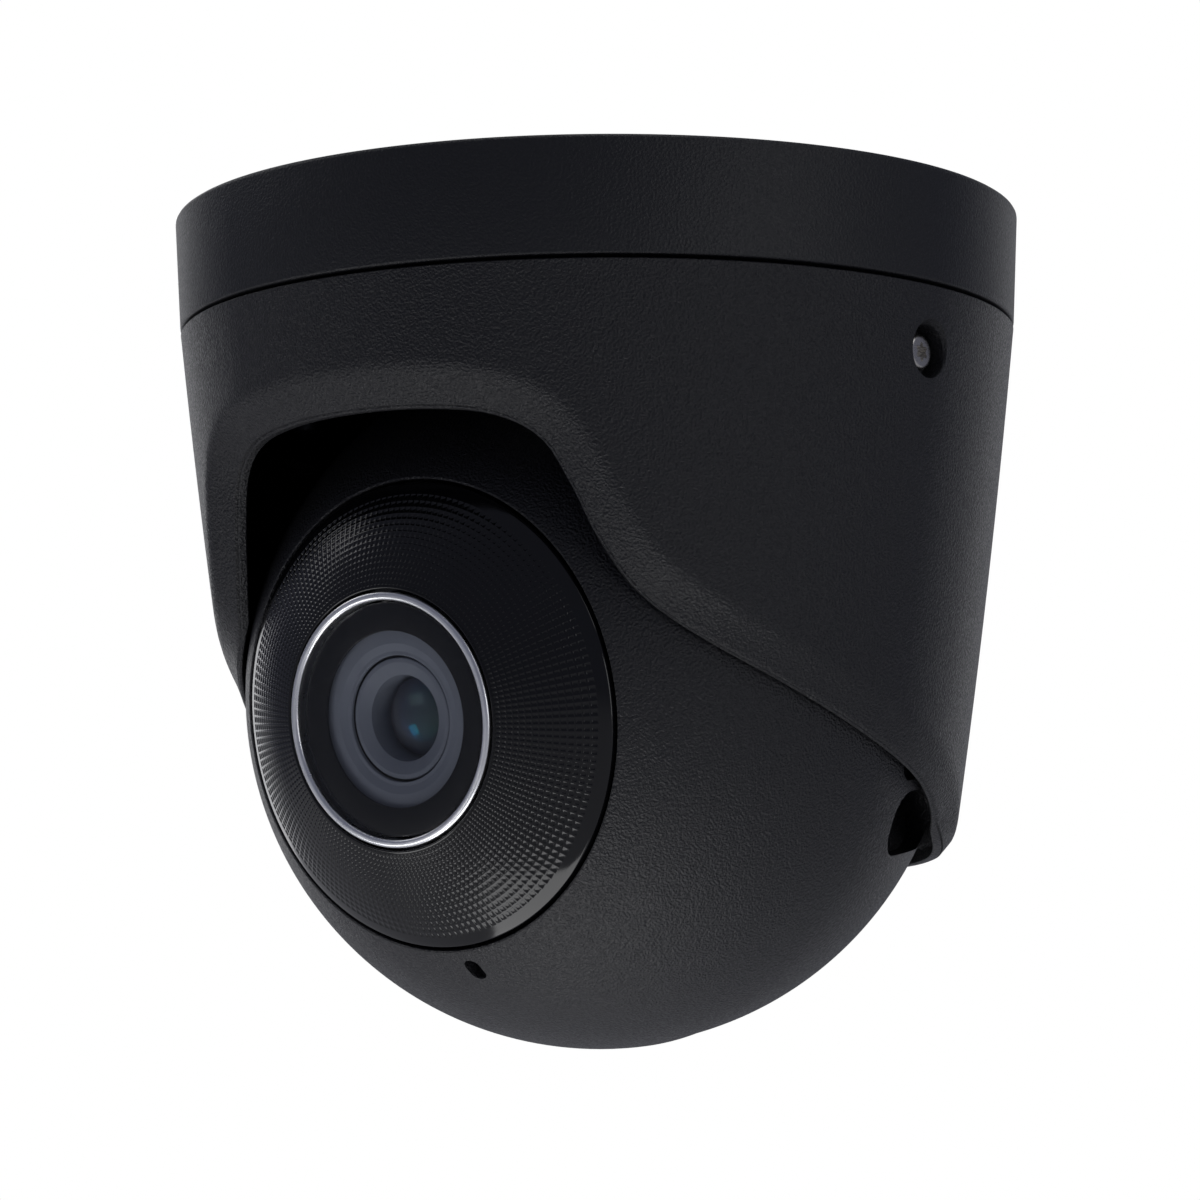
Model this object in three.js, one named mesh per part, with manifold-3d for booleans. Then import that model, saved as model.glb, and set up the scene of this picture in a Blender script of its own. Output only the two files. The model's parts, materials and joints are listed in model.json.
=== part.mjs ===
// Ceiling-mounted turret ("eyeball" dome) security camera.
// Millimetres, +Z up. The origin is the centre of the base's flat ceiling face, and the camera
// hangs below it. The lens looks towards -Y and a little down. +X is the tilt axis.

import * as THREE from 'three';
import { mergeVertices } from 'three/addons/utils/BufferGeometryUtils.js';
import Module from 'manifold-3d';

const wasm = await Module();
wasm.setup();

// ---------------------------------------------------------------- driving dimensions

const GAP = 0.3; // clear space kept between pieces that touch
const DEG = Math.PI / 180;

const BASE_RADIUS = 55.5; // at the ceiling face
const SEAM_Z = -14.68; // bottom of the base's band, where the shroud starts
const SEAM_RADIUS = 54.81;
const BASE_PLATE = 3.2; // thickness of the ceiling plate
const SEAL_GROOVE_TOP = { inner: 47.6, outer: 52, depth: 1.5 }; // ring groove in the ceiling face
const CAST_POCKET = { inner: 13, outer: 44, rib: 4, depth: 1.3 }; // saves weight in the ceiling face
const CEILING_HOLE = { circle: 31.5, radius: 2.4, boss: 5.4 };
const GLAND = { place: [-8, 20], bore: 3.2, hole: 7.3, seat: 11 };
const RING_SCREW_CIRCLE = 38.3;
const NECK = { inner: 36.5, outer: 40, bottom: -24 };
const LEDGE = { radius: 47, bottom: -6.7 }; // shoulder that the pan washer bears on

const SHROUD_TOP = -15.1;
const SHROUD_TAPER = 0.1038; // loss of radius per mm below the seam
const SHROUD_BOW = 0.000393; // extra loss per mm squared, which rounds the wall
const SHROUD_WALL = 2.4;
const RIM_WALL = 1.2; // wall at the lip of the opening
const BALL_CLEARANCE = 0.5;

const BALL_Z = -62.43; // ball centre, on the base's axis
const BALL_RADIUS = 46.26;
const REAR_RADIUS = 45.95; // the rear shell is a shade smaller
const SHELL_WALL = 2.2;
const LENS_TILT = 8.802; // degrees that the lens looks below the horizontal at rest
const SEAM_FORWARD = 2.2; // shell seam, ahead of the ball centre along the lens axis

const BEZEL_RADIUS = 29.5;
const WINDOW_RADIUS = 14.87;
const TRIM_RADIUS = 15.93;
const MASK_OPENING = 11.02;
const LED_CIRCLE = 21.2;
const PIVOT = { bore: 3, counterbore: 4.6, room: 6.9 }; // room: radius the front shell leaves free

const ARM = { inner: 43.2, outer: 45.6, halfWidth: 5, lean: 30 }; // yoke arms, by x
const FLAT = { x: 42.4, front: -3.7, bottom: -14.5 }; // flats of the rear shell beside the arms
const HOLLOW = { floor: 31, bottom: -24, top: -15.9, back: -22, corner: 3.5 }; // below each flat

// ---------------------------------------------------------------- materials

function finish(color, roughness, metalness = 0, opacity = 1) {
  return new THREE.MeshStandardMaterial({
    color, roughness, metalness, opacity, transparent: opacity < 1,
  });
}

const PAINTED_CASTING = finish(0x17181b, 0.62);
const TEXTURED_PLASTIC = finish(0x16171a, 0.6);
const GLOSS_BLACK = finish(0x060607, 0.12);
const BLACK_PLASTIC = finish(0x101012, 0.5);
const GREY_PLASTIC = finish(0x30343c, 0.55);
const BRIGHT_CHROME = finish(0xe6e8ea, 0.08, 1);
const STEEL = finish(0xb9babd, 0.32, 1);
const ALUMINIUM = finish(0x9a9da1, 0.4, 1);
const RUBBER = finish(0x0d0d0e, 0.85);
const ACETAL = finish(0xd9d7cf, 0.45);
const WINDOW_GLASS = finish(0x20242a, 0.04, 0, 0.35);
const LENS_GLASS = finish(0x28323a, 0.03, 0, 0.4);
const CIRCUIT_BOARD = finish(0x14532d, 0.5);
const CHIP = finish(0x1b1c1f, 0.4);
const PAD = finish(0x8d94a3, 0.9);

// ---------------------------------------------------------------- solid helpers

// Turns a three.js geometry into a closed solid: shared corners merged, slivers dropped, faces out.
function solid(geometry) {
  const bare = geometry.index ? geometry.toNonIndexed() : geometry.clone();
  bare.deleteAttribute('normal');
  bare.deleteAttribute('uv');
  const merged = mergeVertices(bare, 1e-4);
  const position = merged.attributes.position.array;
  const triangles = [];
  let volume = 0;
  for (let i = 0; i < merged.index.count; i += 3) {
    const [a, b, c] = [0, 1, 2].map((k) => merged.index.getX(i + k));
    if (a === b || b === c || c === a) {
      continue;
    }
    triangles.push(a, b, c);
    const [p, q, r] = [a, b, c].map((k) => new THREE.Vector3().fromArray(position, 3 * k));
    volume += p.dot(q.cross(r)) / 6;
  }
  if (volume < 0) {
    triangles.reverse();
  }
  return new wasm.Manifold(new wasm.Mesh({
    numProp: 3,
    vertProperties: Float32Array.from(position),
    triVerts: Uint32Array.from(triangles),
  }));
}

function geometryOf(manifold) {
  const mesh = manifold.getMesh();
  const geometry = new THREE.BufferGeometry();
  const position = Float32Array.from(mesh.vertProperties);
  geometry.setAttribute('position', new THREE.BufferAttribute(position, 3));
  geometry.setIndex(Array.from(mesh.triVerts));
  geometry.computeVertexNormals();
  return geometry;
}

// Solid of revolution about Z from a closed outline of [radius, z] points.
function turned(outline, segments = 24) {
  const points = outline.map(([r, z]) => new THREE.Vector2(r, z));
  const geometry = new THREE.LatheGeometry([...points, points[0]], segments);
  return solid(geometry.rotateX(Math.PI / 2));
}

function washer(inner, outer, low, high, segments = 20) {
  return turned([[inner, low], [outer, low], [outer, high], [inner, high]], segments);
}

function disc(radius, low, high, segments = 16) {
  return turned([[0, low], [radius, low], [radius, high], [0, high]], segments);
}

function box(low, high) {
  const size = high.map((value, i) => value - low[i]);
  const geometry = new THREE.BoxGeometry(...size);
  return solid(geometry.translate(...low.map((value, i) => value + size[i] / 2)));
}

// Round bar between two values of x, about the line through (y, z).
function barAlongX(radius, from, to, y = 0, z = 0, segments = 16) {
  const geometry = new THREE.CylinderGeometry(radius, radius, Math.abs(to - from), segments);
  return solid(geometry.rotateZ(Math.PI / 2).translate((from + to) / 2, y, z));
}

function plate(shape, low, high, curveSegments = 6) {
  const geometry = new THREE.ExtrudeGeometry(shape, {
    depth: high - low, bevelEnabled: false, curveSegments,
  });
  return solid(geometry.translate(0, 0, low));
}

function roundedRectangle(x0, y0, x1, y1, radius) {
  const shape = new THREE.Shape();
  shape.absarc(x1 - radius, y1 - radius, radius, 0, Math.PI / 2);
  shape.absarc(x0 + radius, y1 - radius, radius, Math.PI / 2, Math.PI);
  shape.absarc(x0 + radius, y0 + radius, radius, Math.PI, 1.5 * Math.PI);
  shape.absarc(x1 - radius, y0 + radius, radius, 1.5 * Math.PI, 2 * Math.PI);
  return shape;
}

// Points [r, z] on a circle about the origin, from one polar angle (from +Z) to another, in degrees.
function arc(radius, from, to, steps) {
  return Array.from({ length: steps + 1 }, (_, i) => {
    const angle = (from + ((to - from) * i) / steps) * DEG;
    return [radius * Math.sin(angle), radius * Math.cos(angle)];
  });
}

function join(first, ...others) {
  return others.reduce((total, next) => total.add(next), first);
}

function cut(body, ...tools) {
  return tools.reduce((total, tool) => total.subtract(tool), body);
}

function mirrored(manifold) {
  return manifold.mirror([1, 0, 0]);
}

function atPlaces(manifold, places) {
  return join(...places.map(([x, y, z = 0]) => manifold.translate([x, y, z])));
}

function corners(distance) {
  return [[1, 1], [-1, 1], [-1, -1], [1, -1]].map(([x, y]) => [x * distance, y * distance]);
}

function onCircle(radius, angles) {
  return angles.map((angle) => [radius * Math.cos(angle * DEG), radius * Math.sin(angle * DEG)]);
}

function addPiece(group, name, manifold, material) {
  const mesh = new THREE.Mesh(geometryOf(manifold), material.clone());
  mesh.name = name;
  group.add(mesh);
}

// Pan-head machine screw: its shank runs up +Z from z = 0 and its head hangs below.
function machineScrew(shank, length, head, headHeight) {
  const slotWidth = head / 3;
  const body = turned([
    [0, -headHeight], [head * 0.85, -headHeight], [head, 0],
    [shank, 0], [shank, length], [0, length],
  ], 6);
  const slot = box(
    [-slotWidth / 2, -head * 0.7, -headHeight - 1], [slotWidth / 2, head * 0.7, -headHeight * 0.5],
  );
  return cut(body, slot);
}

// ---------------------------------------------------------------- base

const CEILING_HOLES = onCircle(CEILING_HOLE.circle, [60, 180, 300]);
const BOARD_SCREWS = [[-19, -3], [6, -3], [-2, -9.5]];

function baseHousing() {
  const { inner, outer, depth } = SEAL_GROOVE_TOP;
  const body = turned([
    [0, 0], [inner, 0], [inner, -depth], [outer, -depth], [outer, 0], [BASE_RADIUS - 0.4, 0],
    [BASE_RADIUS, -0.4], [SEAM_RADIUS, SEAM_Z + 0.3], [SEAM_RADIUS - 0.4, SEAM_Z],
    [51.6, SEAM_Z], [51.6, -BASE_PLATE], [LEDGE.radius, -BASE_PLATE],
    [LEDGE.radius, LEDGE.bottom], [NECK.outer, LEDGE.bottom], [NECK.outer, NECK.bottom],
    [NECK.inner, NECK.bottom], [NECK.inner, -BASE_PLATE], [0, -BASE_PLATE],
  ], 40);
  const pockets = [0, 60, 120, 180, 240, 300].map((angle) => castPocket(angle));
  const screwSeats = atPlaces(disc(CEILING_HOLE.boss, -BASE_PLATE, 0, 12), CEILING_HOLES);
  const glandSeat = disc(GLAND.seat, -BASE_PLATE, 0, 20).translate([...GLAND.place, 0]);
  const posts = atPlaces(disc(2.6, -5, -BASE_PLATE, 10), BOARD_SCREWS);
  const holes = [
    atPlaces(disc(CEILING_HOLE.radius, -20, 1, 12), CEILING_HOLES),
    disc(GLAND.hole, -20, 1, 20).translate([...GLAND.place, 0]),
    atPlaces(disc(1.2, -8, -1.8, 6), BOARD_SCREWS),
    atPlaces(disc(1.2, -30, -19, 6), retainingScrewPlaces()),
  ];
  return cut(join(cut(body, ...pockets), screwSeats, glandSeat, posts), ...holes);
}

// Shallow weight-saving pocket in the ceiling face, one sixth of a turn less a rib.
function castPocket(angle) {
  const { inner, outer, rib, depth } = CAST_POCKET;
  const half = 30 * DEG;
  const shape = new THREE.Shape();
  const [a, b] = [half - rib / 2 / inner, half - rib / 2 / outer];
  shape.absarc(0, 0, outer, -b, b);
  shape.absarc(0, 0, inner, a, -a, true);
  return plate(shape, -depth, 1, 4).rotate([0, 0, angle]);
}

function retainingScrewPlaces() {
  return onCircle(RING_SCREW_CIRCLE, [45, 135, 225, 315]);
}

function cableGland() {
  const body = turned([
    [GLAND.bore, -8.2], [4.6, -8.2], [6.2, -4.2], [9.2, -4.2], [9.2, -3.5],
    [GLAND.hole - GAP, -3.5], [GLAND.hole - GAP, -0.1], [GLAND.bore, -0.1],
  ], 20);
  return body.translate([...GLAND.place, 0]);
}

function baseBoard() {
  const shape = roundedRectangle(-22.5, -28, 9.5, 0.5, 3);
  const corner = box([-40, -40, -10], [-16.8, -23, 0]);
  const clearance = atPlaces(disc(1.5, -10, 0, 12), BOARD_SCREWS);
  return cut(plate(shape, -6.9, -5.3), corner, clearance);
}

function networkSocket() {
  const body = box([-15, -28, -17.7], [1, -13, -7.2]);
  const port = box([-13, -30, -16.2], [-1, -17, -9.2]);
  const latch = box([-10, -30, -9.4], [-4, -17, -8.2]);
  return cut(body, port, latch);
}

function powerTerminal() {
  const body = box([1.8, -18, -14.8], [8.6, -7.4, -7.2]);
  const entries = [-15.3, -10.1].map((y) => barAlongX(1.3, 5, 10, y, -12.2, 12));
  const screwWells = [-15.3, -10.1].map((y) => disc(1.5, -16, -13.2, 12).translate([4.6, y, 0]));
  return cut(body, ...entries, ...screwWells);
}

function buildBase() {
  const group = new THREE.Group();
  addPiece(group, 'base_housing', baseHousing(), PAINTED_CASTING);
  const seal = washer(SEAL_GROOVE_TOP.inner + 0.35, SEAL_GROOVE_TOP.outer - 0.35, -1.2, -0.02, 36);
  addPiece(group, 'ceiling_seal', seal, RUBBER);
  addPiece(group, 'cable_gland', cableGland(), RUBBER);
  addPiece(group, 'base_board', baseBoard(), CIRCUIT_BOARD);
  addPiece(group, 'network_socket', networkSocket(), STEEL);
  addPiece(group, 'power_terminal', powerTerminal(), BLACK_PLASTIC);
  BOARD_SCREWS.forEach((place, i) => {
    const screw = machineScrew(0.9, 4.6, 2.2, 1.3).translate([...place, -7.2]);
    addPiece(group, `base_board_screw_${i + 1}`, screw, STEEL);
  });
  addPiece(group, 'pan_friction_washer', washer(40.5, 46.4, -7.7, -7), ACETAL);
  const ring = cut(
    washer(36.8, 42.9, -26.8, NECK.bottom - GAP),
    atPlaces(disc(1.3, -30, -20, 6), retainingScrewPlaces()),
  );
  addPiece(group, 'pan_retaining_ring', ring, ALUMINIUM);
  retainingScrewPlaces().forEach((place, i) => {
    const screw = machineScrew(0.9, 7, 1.9, 1.1).translate([...place, -27.1]);
    addPiece(group, `retaining_ring_screw_${i + 1}`, screw, STEEL);
  });
  return group;
}

// ---------------------------------------------------------------- shroud

function shroudRadius(z) {
  const below = SEAM_Z - z;
  return SEAM_RADIUS - SHROUD_TAPER * below - SHROUD_BOW * below * below;
}

// Smallest inner radius that clears the ball at height z.
function ballClearRadius(z) {
  const height = z - BALL_Z;
  const reach = BALL_RADIUS + BALL_CLEARANCE;
  return Math.sqrt(Math.max(0, reach * reach - height * height));
}

// The shroud's lower rim, as [degrees round from the front, z]. It is the same on both sides:
// a high brow over the lens, a steep fall, a long sweep past the ears and a level back.
const RIM = new THREE.SplineCurve([
  [-12, -31.8], [0, -31.5], [12, -31.8], [22.5, -33], [29.6, -36.1], [33.9, -41.8], [37.9, -48.5],
  [43.8, -55], [53.1, -60.4], [66.7, -65.7], [83.9, -71.4], [102, -76.2], [116, -80.2],
  [128, -83.2], [142, -84.2], [180, -84.2], [192, -84.2],
].map(([angle, z]) => new THREE.Vector2(angle, z)));
const UNROLLED_RADIUS = 50; // mm, turns degrees round the rim into mm along it
const BEVEL = { width: 5.6, depth: 3, rearWidth: 2.4, rearDepth: 1.4 };
const BEVEL_STEPS = [[1, 0], [0.8, 0.1], [0.4, 0.6], [0.1, 0.92], [0, 1]];

// Rim points every few millimetres, each with the direction that points up the wall from it.
function rimColumns(spacing) {
  const scale = new THREE.Vector2(UNROLLED_RADIUS * DEG, 1);
  const fine = RIM.getPoints(900).map((p) => p.clone().multiply(scale));
  const half = 180 * DEG * UNROLLED_RADIUS;
  const inside = fine.filter((p) => p.x >= 0 && p.x <= half);
  const lengths = [0];
  for (let i = 1; i < inside.length; i += 1) {
    lengths.push(lengths[i - 1] + inside[i].distanceTo(inside[i - 1]));
  }
  const total = lengths[lengths.length - 1];
  const count = Math.round(total / spacing);
  const columns = [];
  for (let k = 0; k <= count; k += 1) {
    const target = (total * k) / count;
    const at = Math.max(1, lengths.findIndex((length) => length >= target - 1e-9));
    const along = (target - lengths[at - 1]) / (lengths[at] - lengths[at - 1]);
    const point = inside[at - 1].clone().lerp(inside[at], along);
    const tangent = inside[at].clone().sub(inside[at - 1]).normalize();
    columns.push({ point, up: new THREE.Vector2(-tangent.y, tangent.x) });
  }
  columns[0].point.x = 0;
  columns[0].up.set(0, 1);
  columns[count].point.x = half;
  columns[count].up.set(0, 1);
  return columns;
}

// One closed section of the shroud's wall, as [distance round, radius, z] points.
function shroudSection({ point, up }) {
  const angle = point.x / (UNROLLED_RADIUS * DEG);
  const back = THREE.MathUtils.smoothstep(angle, 108, 132);
  const width = THREE.MathUtils.lerp(BEVEL.width, BEVEL.rearWidth, back);
  const depth = THREE.MathUtils.lerp(BEVEL.depth, BEVEL.rearDepth, back);
  const outside = [];
  const inside = [];
  BEVEL_STEPS.forEach(([away, fall]) => {
    const [x, z] = [point.x + up.x * width * away, point.y + up.y * width * away];
    const room = shroudRadius(z) - ballClearRadius(z) - 0.6;
    const outer = shroudRadius(z) - Math.min(depth, room) * fall;
    const wall = THREE.MathUtils.lerp(RIM_WALL, SHROUD_WALL, away);
    outside.push([x, outer, z]);
    inside.unshift([x, Math.max(outer - wall, ballClearRadius(z)), z]);
  });
  const [x, , z] = outside[0];
  const rows = [0.3, 0.6, 0.85].map((part) => THREE.MathUtils.lerp(-19.5, z, part));
  const wallAbove = rows.map((row) => [x, shroudRadius(row), row]);
  const liningAbove = rows.map((row) => {
    return [x, Math.max(shroudRadius(row) - SHROUD_WALL, ballClearRadius(row)), row];
  }).reverse();
  return [
    [x, 51.2, SHROUD_TOP], [x, SEAM_RADIUS - 0.5, SHROUD_TOP], [x, shroudRadius(-15.4), -15.4],
    [x, shroudRadius(-19.5), -19.5], ...wallAbove, ...outside,
    ...inside, ...liningAbove, [x, shroudRadius(-19.5) - SHROUD_WALL, -19.5],
    [x, 49.9, -17.5], [x, 49.9, -11.5], [x, 51.2, -11.5],
  ];
}

function shroudShell() {
  const half = rimColumns(6).map(shroudSection);
  const otherHalf = half.slice(1, -1).reverse().map((section) => {
    return section.map(([x, r, z]) => [-x, r, z]);
  });
  const sections = [...half, ...otherHalf];
  const size = half[0].length;
  const position = sections.flat().flatMap(([x, r, z]) => {
    const angle = x / UNROLLED_RADIUS;
    return [r * Math.sin(angle), -r * Math.cos(angle), z];
  });
  const index = [];
  sections.forEach((_, i) => {
    const next = (i + 1) % sections.length;
    for (let j = 0; j < size; j += 1) {
      const k = (j + 1) % size;
      const [a, b, c, d] = [i * size + j, next * size + j, next * size + k, i * size + k];
      index.push(a, b, c, a, c, d);
    }
  });
  const geometry = new THREE.BufferGeometry();
  geometry.setAttribute('position', new THREE.BufferAttribute(Float32Array.from(position), 3));
  geometry.setIndex(index);
  return solid(geometry);
}

const SIDE_SCREW = { angle: 88.5, z: -23.3, seat: 50.6, head: 2.25, well: 3.55 };

function alongSideScrew(manifold) {
  return manifold.rotate([0, 0, SIDE_SCREW.angle - 90]).translate([0, 0, SIDE_SCREW.z]);
}

function shroud() {
  const boss = alongSideScrew(barAlongX(5.2, 47.4, 52.6, 0, 0, 20));
  const well = alongSideScrew(barAlongX(SIDE_SCREW.well, SIDE_SCREW.seat, 60));
  const clearance = alongSideScrew(barAlongX(1.7, 40, 60, 0, 0, 8));
  const bossed = join(shroudShell(), boss, mirrored(boss));
  return cut(bossed, well, mirrored(well), clearance, mirrored(clearance));
}

// Flat-topped screw with a six-lobed socket, its axis along +X.
function sideScrew() {
  const { seat, head } = SIDE_SCREW;
  const shank = barAlongX(1.35, 44.4, seat + 0.6, 0, 0, 8);
  const headBody = turned([[0, 0.3], [head, 0.3], [head, 1.3], [head - 0.5, 1.9], [0, 1.9]], 14)
    .rotate([0, 90, 0]).translate([seat, 0, 0]);
  const lobes = onCircle(0.85, [0, 60, 120, 180, 240, 300]).map(([y, z]) => {
    return barAlongX(0.36, seat + 1, seat + 3, y, z, 6);
  });
  const socket = join(barAlongX(0.85, seat + 1, seat + 3, 0, 0, 12), ...lobes);
  return alongSideScrew(cut(join(shank, headBody), socket));
}

// ---------------------------------------------------------------- yoke

// Arm outline in its own plane: y across, z up, with the pivot at the origin.
function armOutline() {
  const { halfWidth, lean } = ARM;
  const [sin, cos] = [Math.sin(lean * DEG), Math.cos(lean * DEG)];
  const bend = [9.2, 16];
  const top = NECK.bottom - BALL_Z;
  const shape = new THREE.Shape();
  shape.absarc(0, 0, halfWidth, (180 - lean) * DEG, (360 - lean) * DEG);
  shape.lineTo(bend[0] + halfWidth, bend[1] - halfWidth * sin);
  shape.lineTo(bend[0] + halfWidth, top);
  shape.lineTo(bend[0] - halfWidth, top);
  shape.lineTo(bend[0] - halfWidth, bend[1] + halfWidth * (cos - sin));
  shape.lineTo(-halfWidth * cos, halfWidth * sin);
  return shape;
}

function yokeArm() {
  const arm = plate(armOutline(), 0, ARM.outer - ARM.inner, 6);
  const standing = arm.rotate([90, 0, 90]).translate([ARM.inner, 0, BALL_Z]);
  const bore = barAlongX(PIVOT.bore, 40, 50, 0, BALL_Z);
  const counterbore = barAlongX(PIVOT.counterbore, 44.7, 50, 0, BALL_Z);
  return cut(standing, bore, counterbore);
}

function panYoke() {
  const ring = turned([
    [40.4, -8], [46.8, -8], [46.8, -27.7], [43.7, -27.7], [43.7, -24], [40.4, -24],
  ], 36);
  const arm = yokeArm();
  const tapped = alongSideScrew(barAlongX(1.65, 44, 60, 0, 0, 8));
  return cut(join(ring, arm, mirrored(arm)), tapped, mirrored(tapped));
}

function buildTurret() {
  const group = new THREE.Group();
  addPiece(group, 'shroud', shroud(), TEXTURED_PLASTIC);
  addPiece(group, 'pan_yoke', panYoke(), ALUMINIUM);
  const screw = sideScrew();
  addPiece(group, 'side_screw_right', screw, STEEL);
  addPiece(group, 'side_screw_left', mirrored(screw), STEEL);
  const bush = washer(PIVOT.bore, 5.2, 0, 1, 24).rotate([0, 90, 0]).translate([41.9, 0, BALL_Z]);
  addPiece(group, 'tilt_washer_right', bush, ACETAL);
  addPiece(group, 'tilt_washer_left', mirrored(bush), ACETAL);
  return group;
}

// ---------------------------------------------------------------- ball, in its own frame
// The ball's own frame has its centre at the origin, +Z along the lens axis and +X the tilt axis.

function polar(radius, z) {
  return Math.acos(z / radius) / DEG;
}

const SEAM_FRONT = SEAM_FORWARD + GAP / 2;
const SEAM_REAR = SEAM_FORWARD - GAP / 2;
const INNER_RADIUS = BALL_RADIUS - SHELL_WALL;
const SEAL_GROOVE = { inner: 34.3, outer: 36.3, floor: 0.6 };
const SHELL_SCREWS = corners(27.9);
const CORE_POSTS = corners(20.5);
const MIC_ANGLE = 134.4; // degrees round the tilt axis from the top of the ball to the sound hole

function ballFrom(radius) {
  return turned(arc(radius, 0, 180, 10), 24);
}

function pivotPocket(radius, floor) {
  return barAlongX(radius, floor, 60);
}

function soundHole() {
  const slot = roundedRectangle(-1.1, -1.8, 1.1, 1.8, 1.09);
  return plate(slot, 36, 50, 4).rotate([MIC_ANGLE - 90, 0, 0]).translate([1.4, 0, 0]);
}

function frontShell() {
  const rimAngle = polar(BALL_RADIUS, 35.6);
  const ledgeAngle = polar(INNER_RADIUS, 29.4);
  const shell = turned([
    ...arc(BALL_RADIUS, polar(BALL_RADIUS, SEAM_FRONT), rimAngle, 6),
    [BEZEL_RADIUS, 35.3], [BEZEL_RADIUS, 31.6], [25.5, 31.6], [25.5, 29.4],
    ...arc(INNER_RADIUS, ledgeAngle, polar(INNER_RADIUS, 4.4), 4), [33.4, 4.4], [33.4, SEAM_FRONT],
  ], 40);
  const outside = ballFrom(BALL_RADIUS - 0.5);
  const aboveSeam = box([-60, -60, SEAM_FRONT], [60, 60, 60]);
  const pivotBacking = barAlongX(8.4, 39, 60);
  const screwBoss = disc(3, SEAM_FRONT, 20, 8);
  const corePost = disc(3, 8.8, 31, 8);
  const inserts = [
    atPlaces(screwBoss, SHELL_SCREWS), atPlaces(corePost, CORE_POSTS),
    pivotBacking, mirrored(pivotBacking),
  ].map((piece) => piece.intersect(outside).intersect(aboveSeam));
  const pocket = pivotPocket(PIVOT.room, 41.6);
  const tools = [
    pocket, mirrored(pocket), soundHole(),
    atPlaces(disc(1.2, 0, 18, 6), SHELL_SCREWS), atPlaces(disc(1.2, 5, 16, 6), CORE_POSTS),
  ];
  return cut(join(shell, ...inserts), ...tools);
}

// Side flat of the rear shell, where the yoke arm swings, and the hollow below it. Growing it
// by a wall's thickness gives the lining that keeps the shell closed behind it.
function sideFlat(growth) {
  const { x, front, bottom } = FLAT;
  const hollow = roundedRectangle(
    HOLLOW.bottom - growth, HOLLOW.back - growth, HOLLOW.top + growth, front + growth, HOLLOW.corner,
  );
  const behind = roundedRectangle(bottom - growth, -30, 22 + growth, front + growth, 2);
  const above = roundedRectangle(-growth, -30, 22 + growth, 9, 2);
  const cutters = join(
    plate(hollow, HOLLOW.floor - growth, 60), plate(behind, x - growth, 60), plate(above, x - growth, 60),
  );
  return join(cutters.rotate([90, 0, 90]), barAlongX(9 + growth, x - 0.8 - growth, 60));
}

const BACK = { outer: -36, inner: -33.8, hole: 6.3 };

function rearShell() {
  const shell = turned([
    ...arc(REAR_RADIUS, polar(REAR_RADIUS, BACK.outer), polar(REAR_RADIUS, SEAM_REAR), 6),
    [33.4, SEAM_REAR], [33.4, -1.2],
    ...arc(INNER_RADIUS, polar(INNER_RADIUS, -1.2), polar(INNER_RADIUS, BACK.inner), 4),
    [BACK.hole, BACK.inner], [BACK.hole, BACK.outer],
  ], 40);
  const behindSeam = box([-60, -60, BACK.outer], [60, 60, SEAM_REAR]);
  const outside = ballFrom(REAR_RADIUS - 0.4).intersect(behindSeam);
  const lining = sideFlat(2);
  const pivotBoss = barAlongX(6, 33.6, 41.6);
  const screwTower = disc(4.2, BACK.outer, SEAM_REAR, 12);
  const linings = [lining, mirrored(lining), atPlaces(screwTower, SHELL_SCREWS)]
    .map((piece) => piece.intersect(outside));
  const bosses = [pivotBoss, mirrored(pivotBoss)]
    .map((piece) => piece.intersect(box([-60, -60, -20], [60, 60, SEAM_REAR])));
  const flat = sideFlat(0);
  const pivotHole = barAlongX(2, 36.7, 60, 0, 0, 12);
  const sealGroove = washer(SEAL_GROOVE.inner, SEAL_GROOVE.outer, SEAL_GROOVE.floor, 5);
  const screwWells = join(
    atPlaces(disc(2.7, -60, -7, 12), SHELL_SCREWS), atPlaces(disc(1.8, -20, 10, 8), SHELL_SCREWS),
  );
  const hollowed = cut(join(shell, ...linings), flat, mirrored(flat), screwWells);
  return cut(join(hollowed, ...bosses), pivotHole, mirrored(pivotHole), sealGroove);
}

function bezel() {
  const crown = (lift) => [27, 23, 19.5].map((r) => [r, bezelHeight(r) - lift]);
  return turned([
    [29.15, 32.9], [29.15, 35.1], [28.9, 35.6], ...crown(0), [16.25, bezelHeight(16.25)],
    [16.25, 40.1], [12.2, 40.1], [12.2, 38.4], [17.8, 38.4], ...crown(2.2).reverse(), [26.8, 32.9],
  ], 40);
}

// Height of the bezel's domed face along the lens axis, at distance r from it.
function bezelHeight(r) {
  return Math.sqrt(BALL_RADIUS ** 2 - r * r) - 0.25;
}

function lensBarrel() {
  return turned([
    [5.41, 39.8], [7, 40.6], [7.59, 40.6], [7.59, 36], [6, 35.2], [6, 22.3], [4.2, 22.3], [4.2, 26],
    [5.2, 27], [5.2, 35.4],
  ], 24);
}

function frontElement() {
  return turned([[0, 36.1], [4.9, 36.1], [4.9, 37], [3.8, 38], [2.4, 38.7], [0, 39.1]], 20);
}

function lensHolder() {
  const block = box([-8.5, -8.5, 16.9], [8.5, 8.5, 21]);
  const tube = disc(8, 20.5, 31);
  return cut(join(block, tube), disc(6.3, 16, 40));
}

function chassis() {
  return cut(
    turned([
      [19, 16.9], [23, 16.9], [23, 18.4], [20.6, 18.4], [20.6, 29.2], [24.8, 29.2], [24.8, 30.6],
      [19, 30.6],
    ], 24),
    atPlaces(disc(3.4, 10, 40, 8), CORE_POSTS),
  );
}

function ledBoard() {
  const clearance = atPlaces(disc(3.4, 0, 40, 8), CORE_POSTS);
  return cut(washer(17.4, 25, 30.9, 32.3), clearance.translate([0, 0, -8]));
}

function infraredLed(angle) {
  const body = join(box([-1.75, -1.75, 32.6], [1.75, 1.75, 33.9]), disc(1.4, 33.8, 34.6, 16));
  const [[x, y]] = onCircle(LED_CIRCLE, [angle]);
  return body.translate([x, y, 0]);
}

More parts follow.
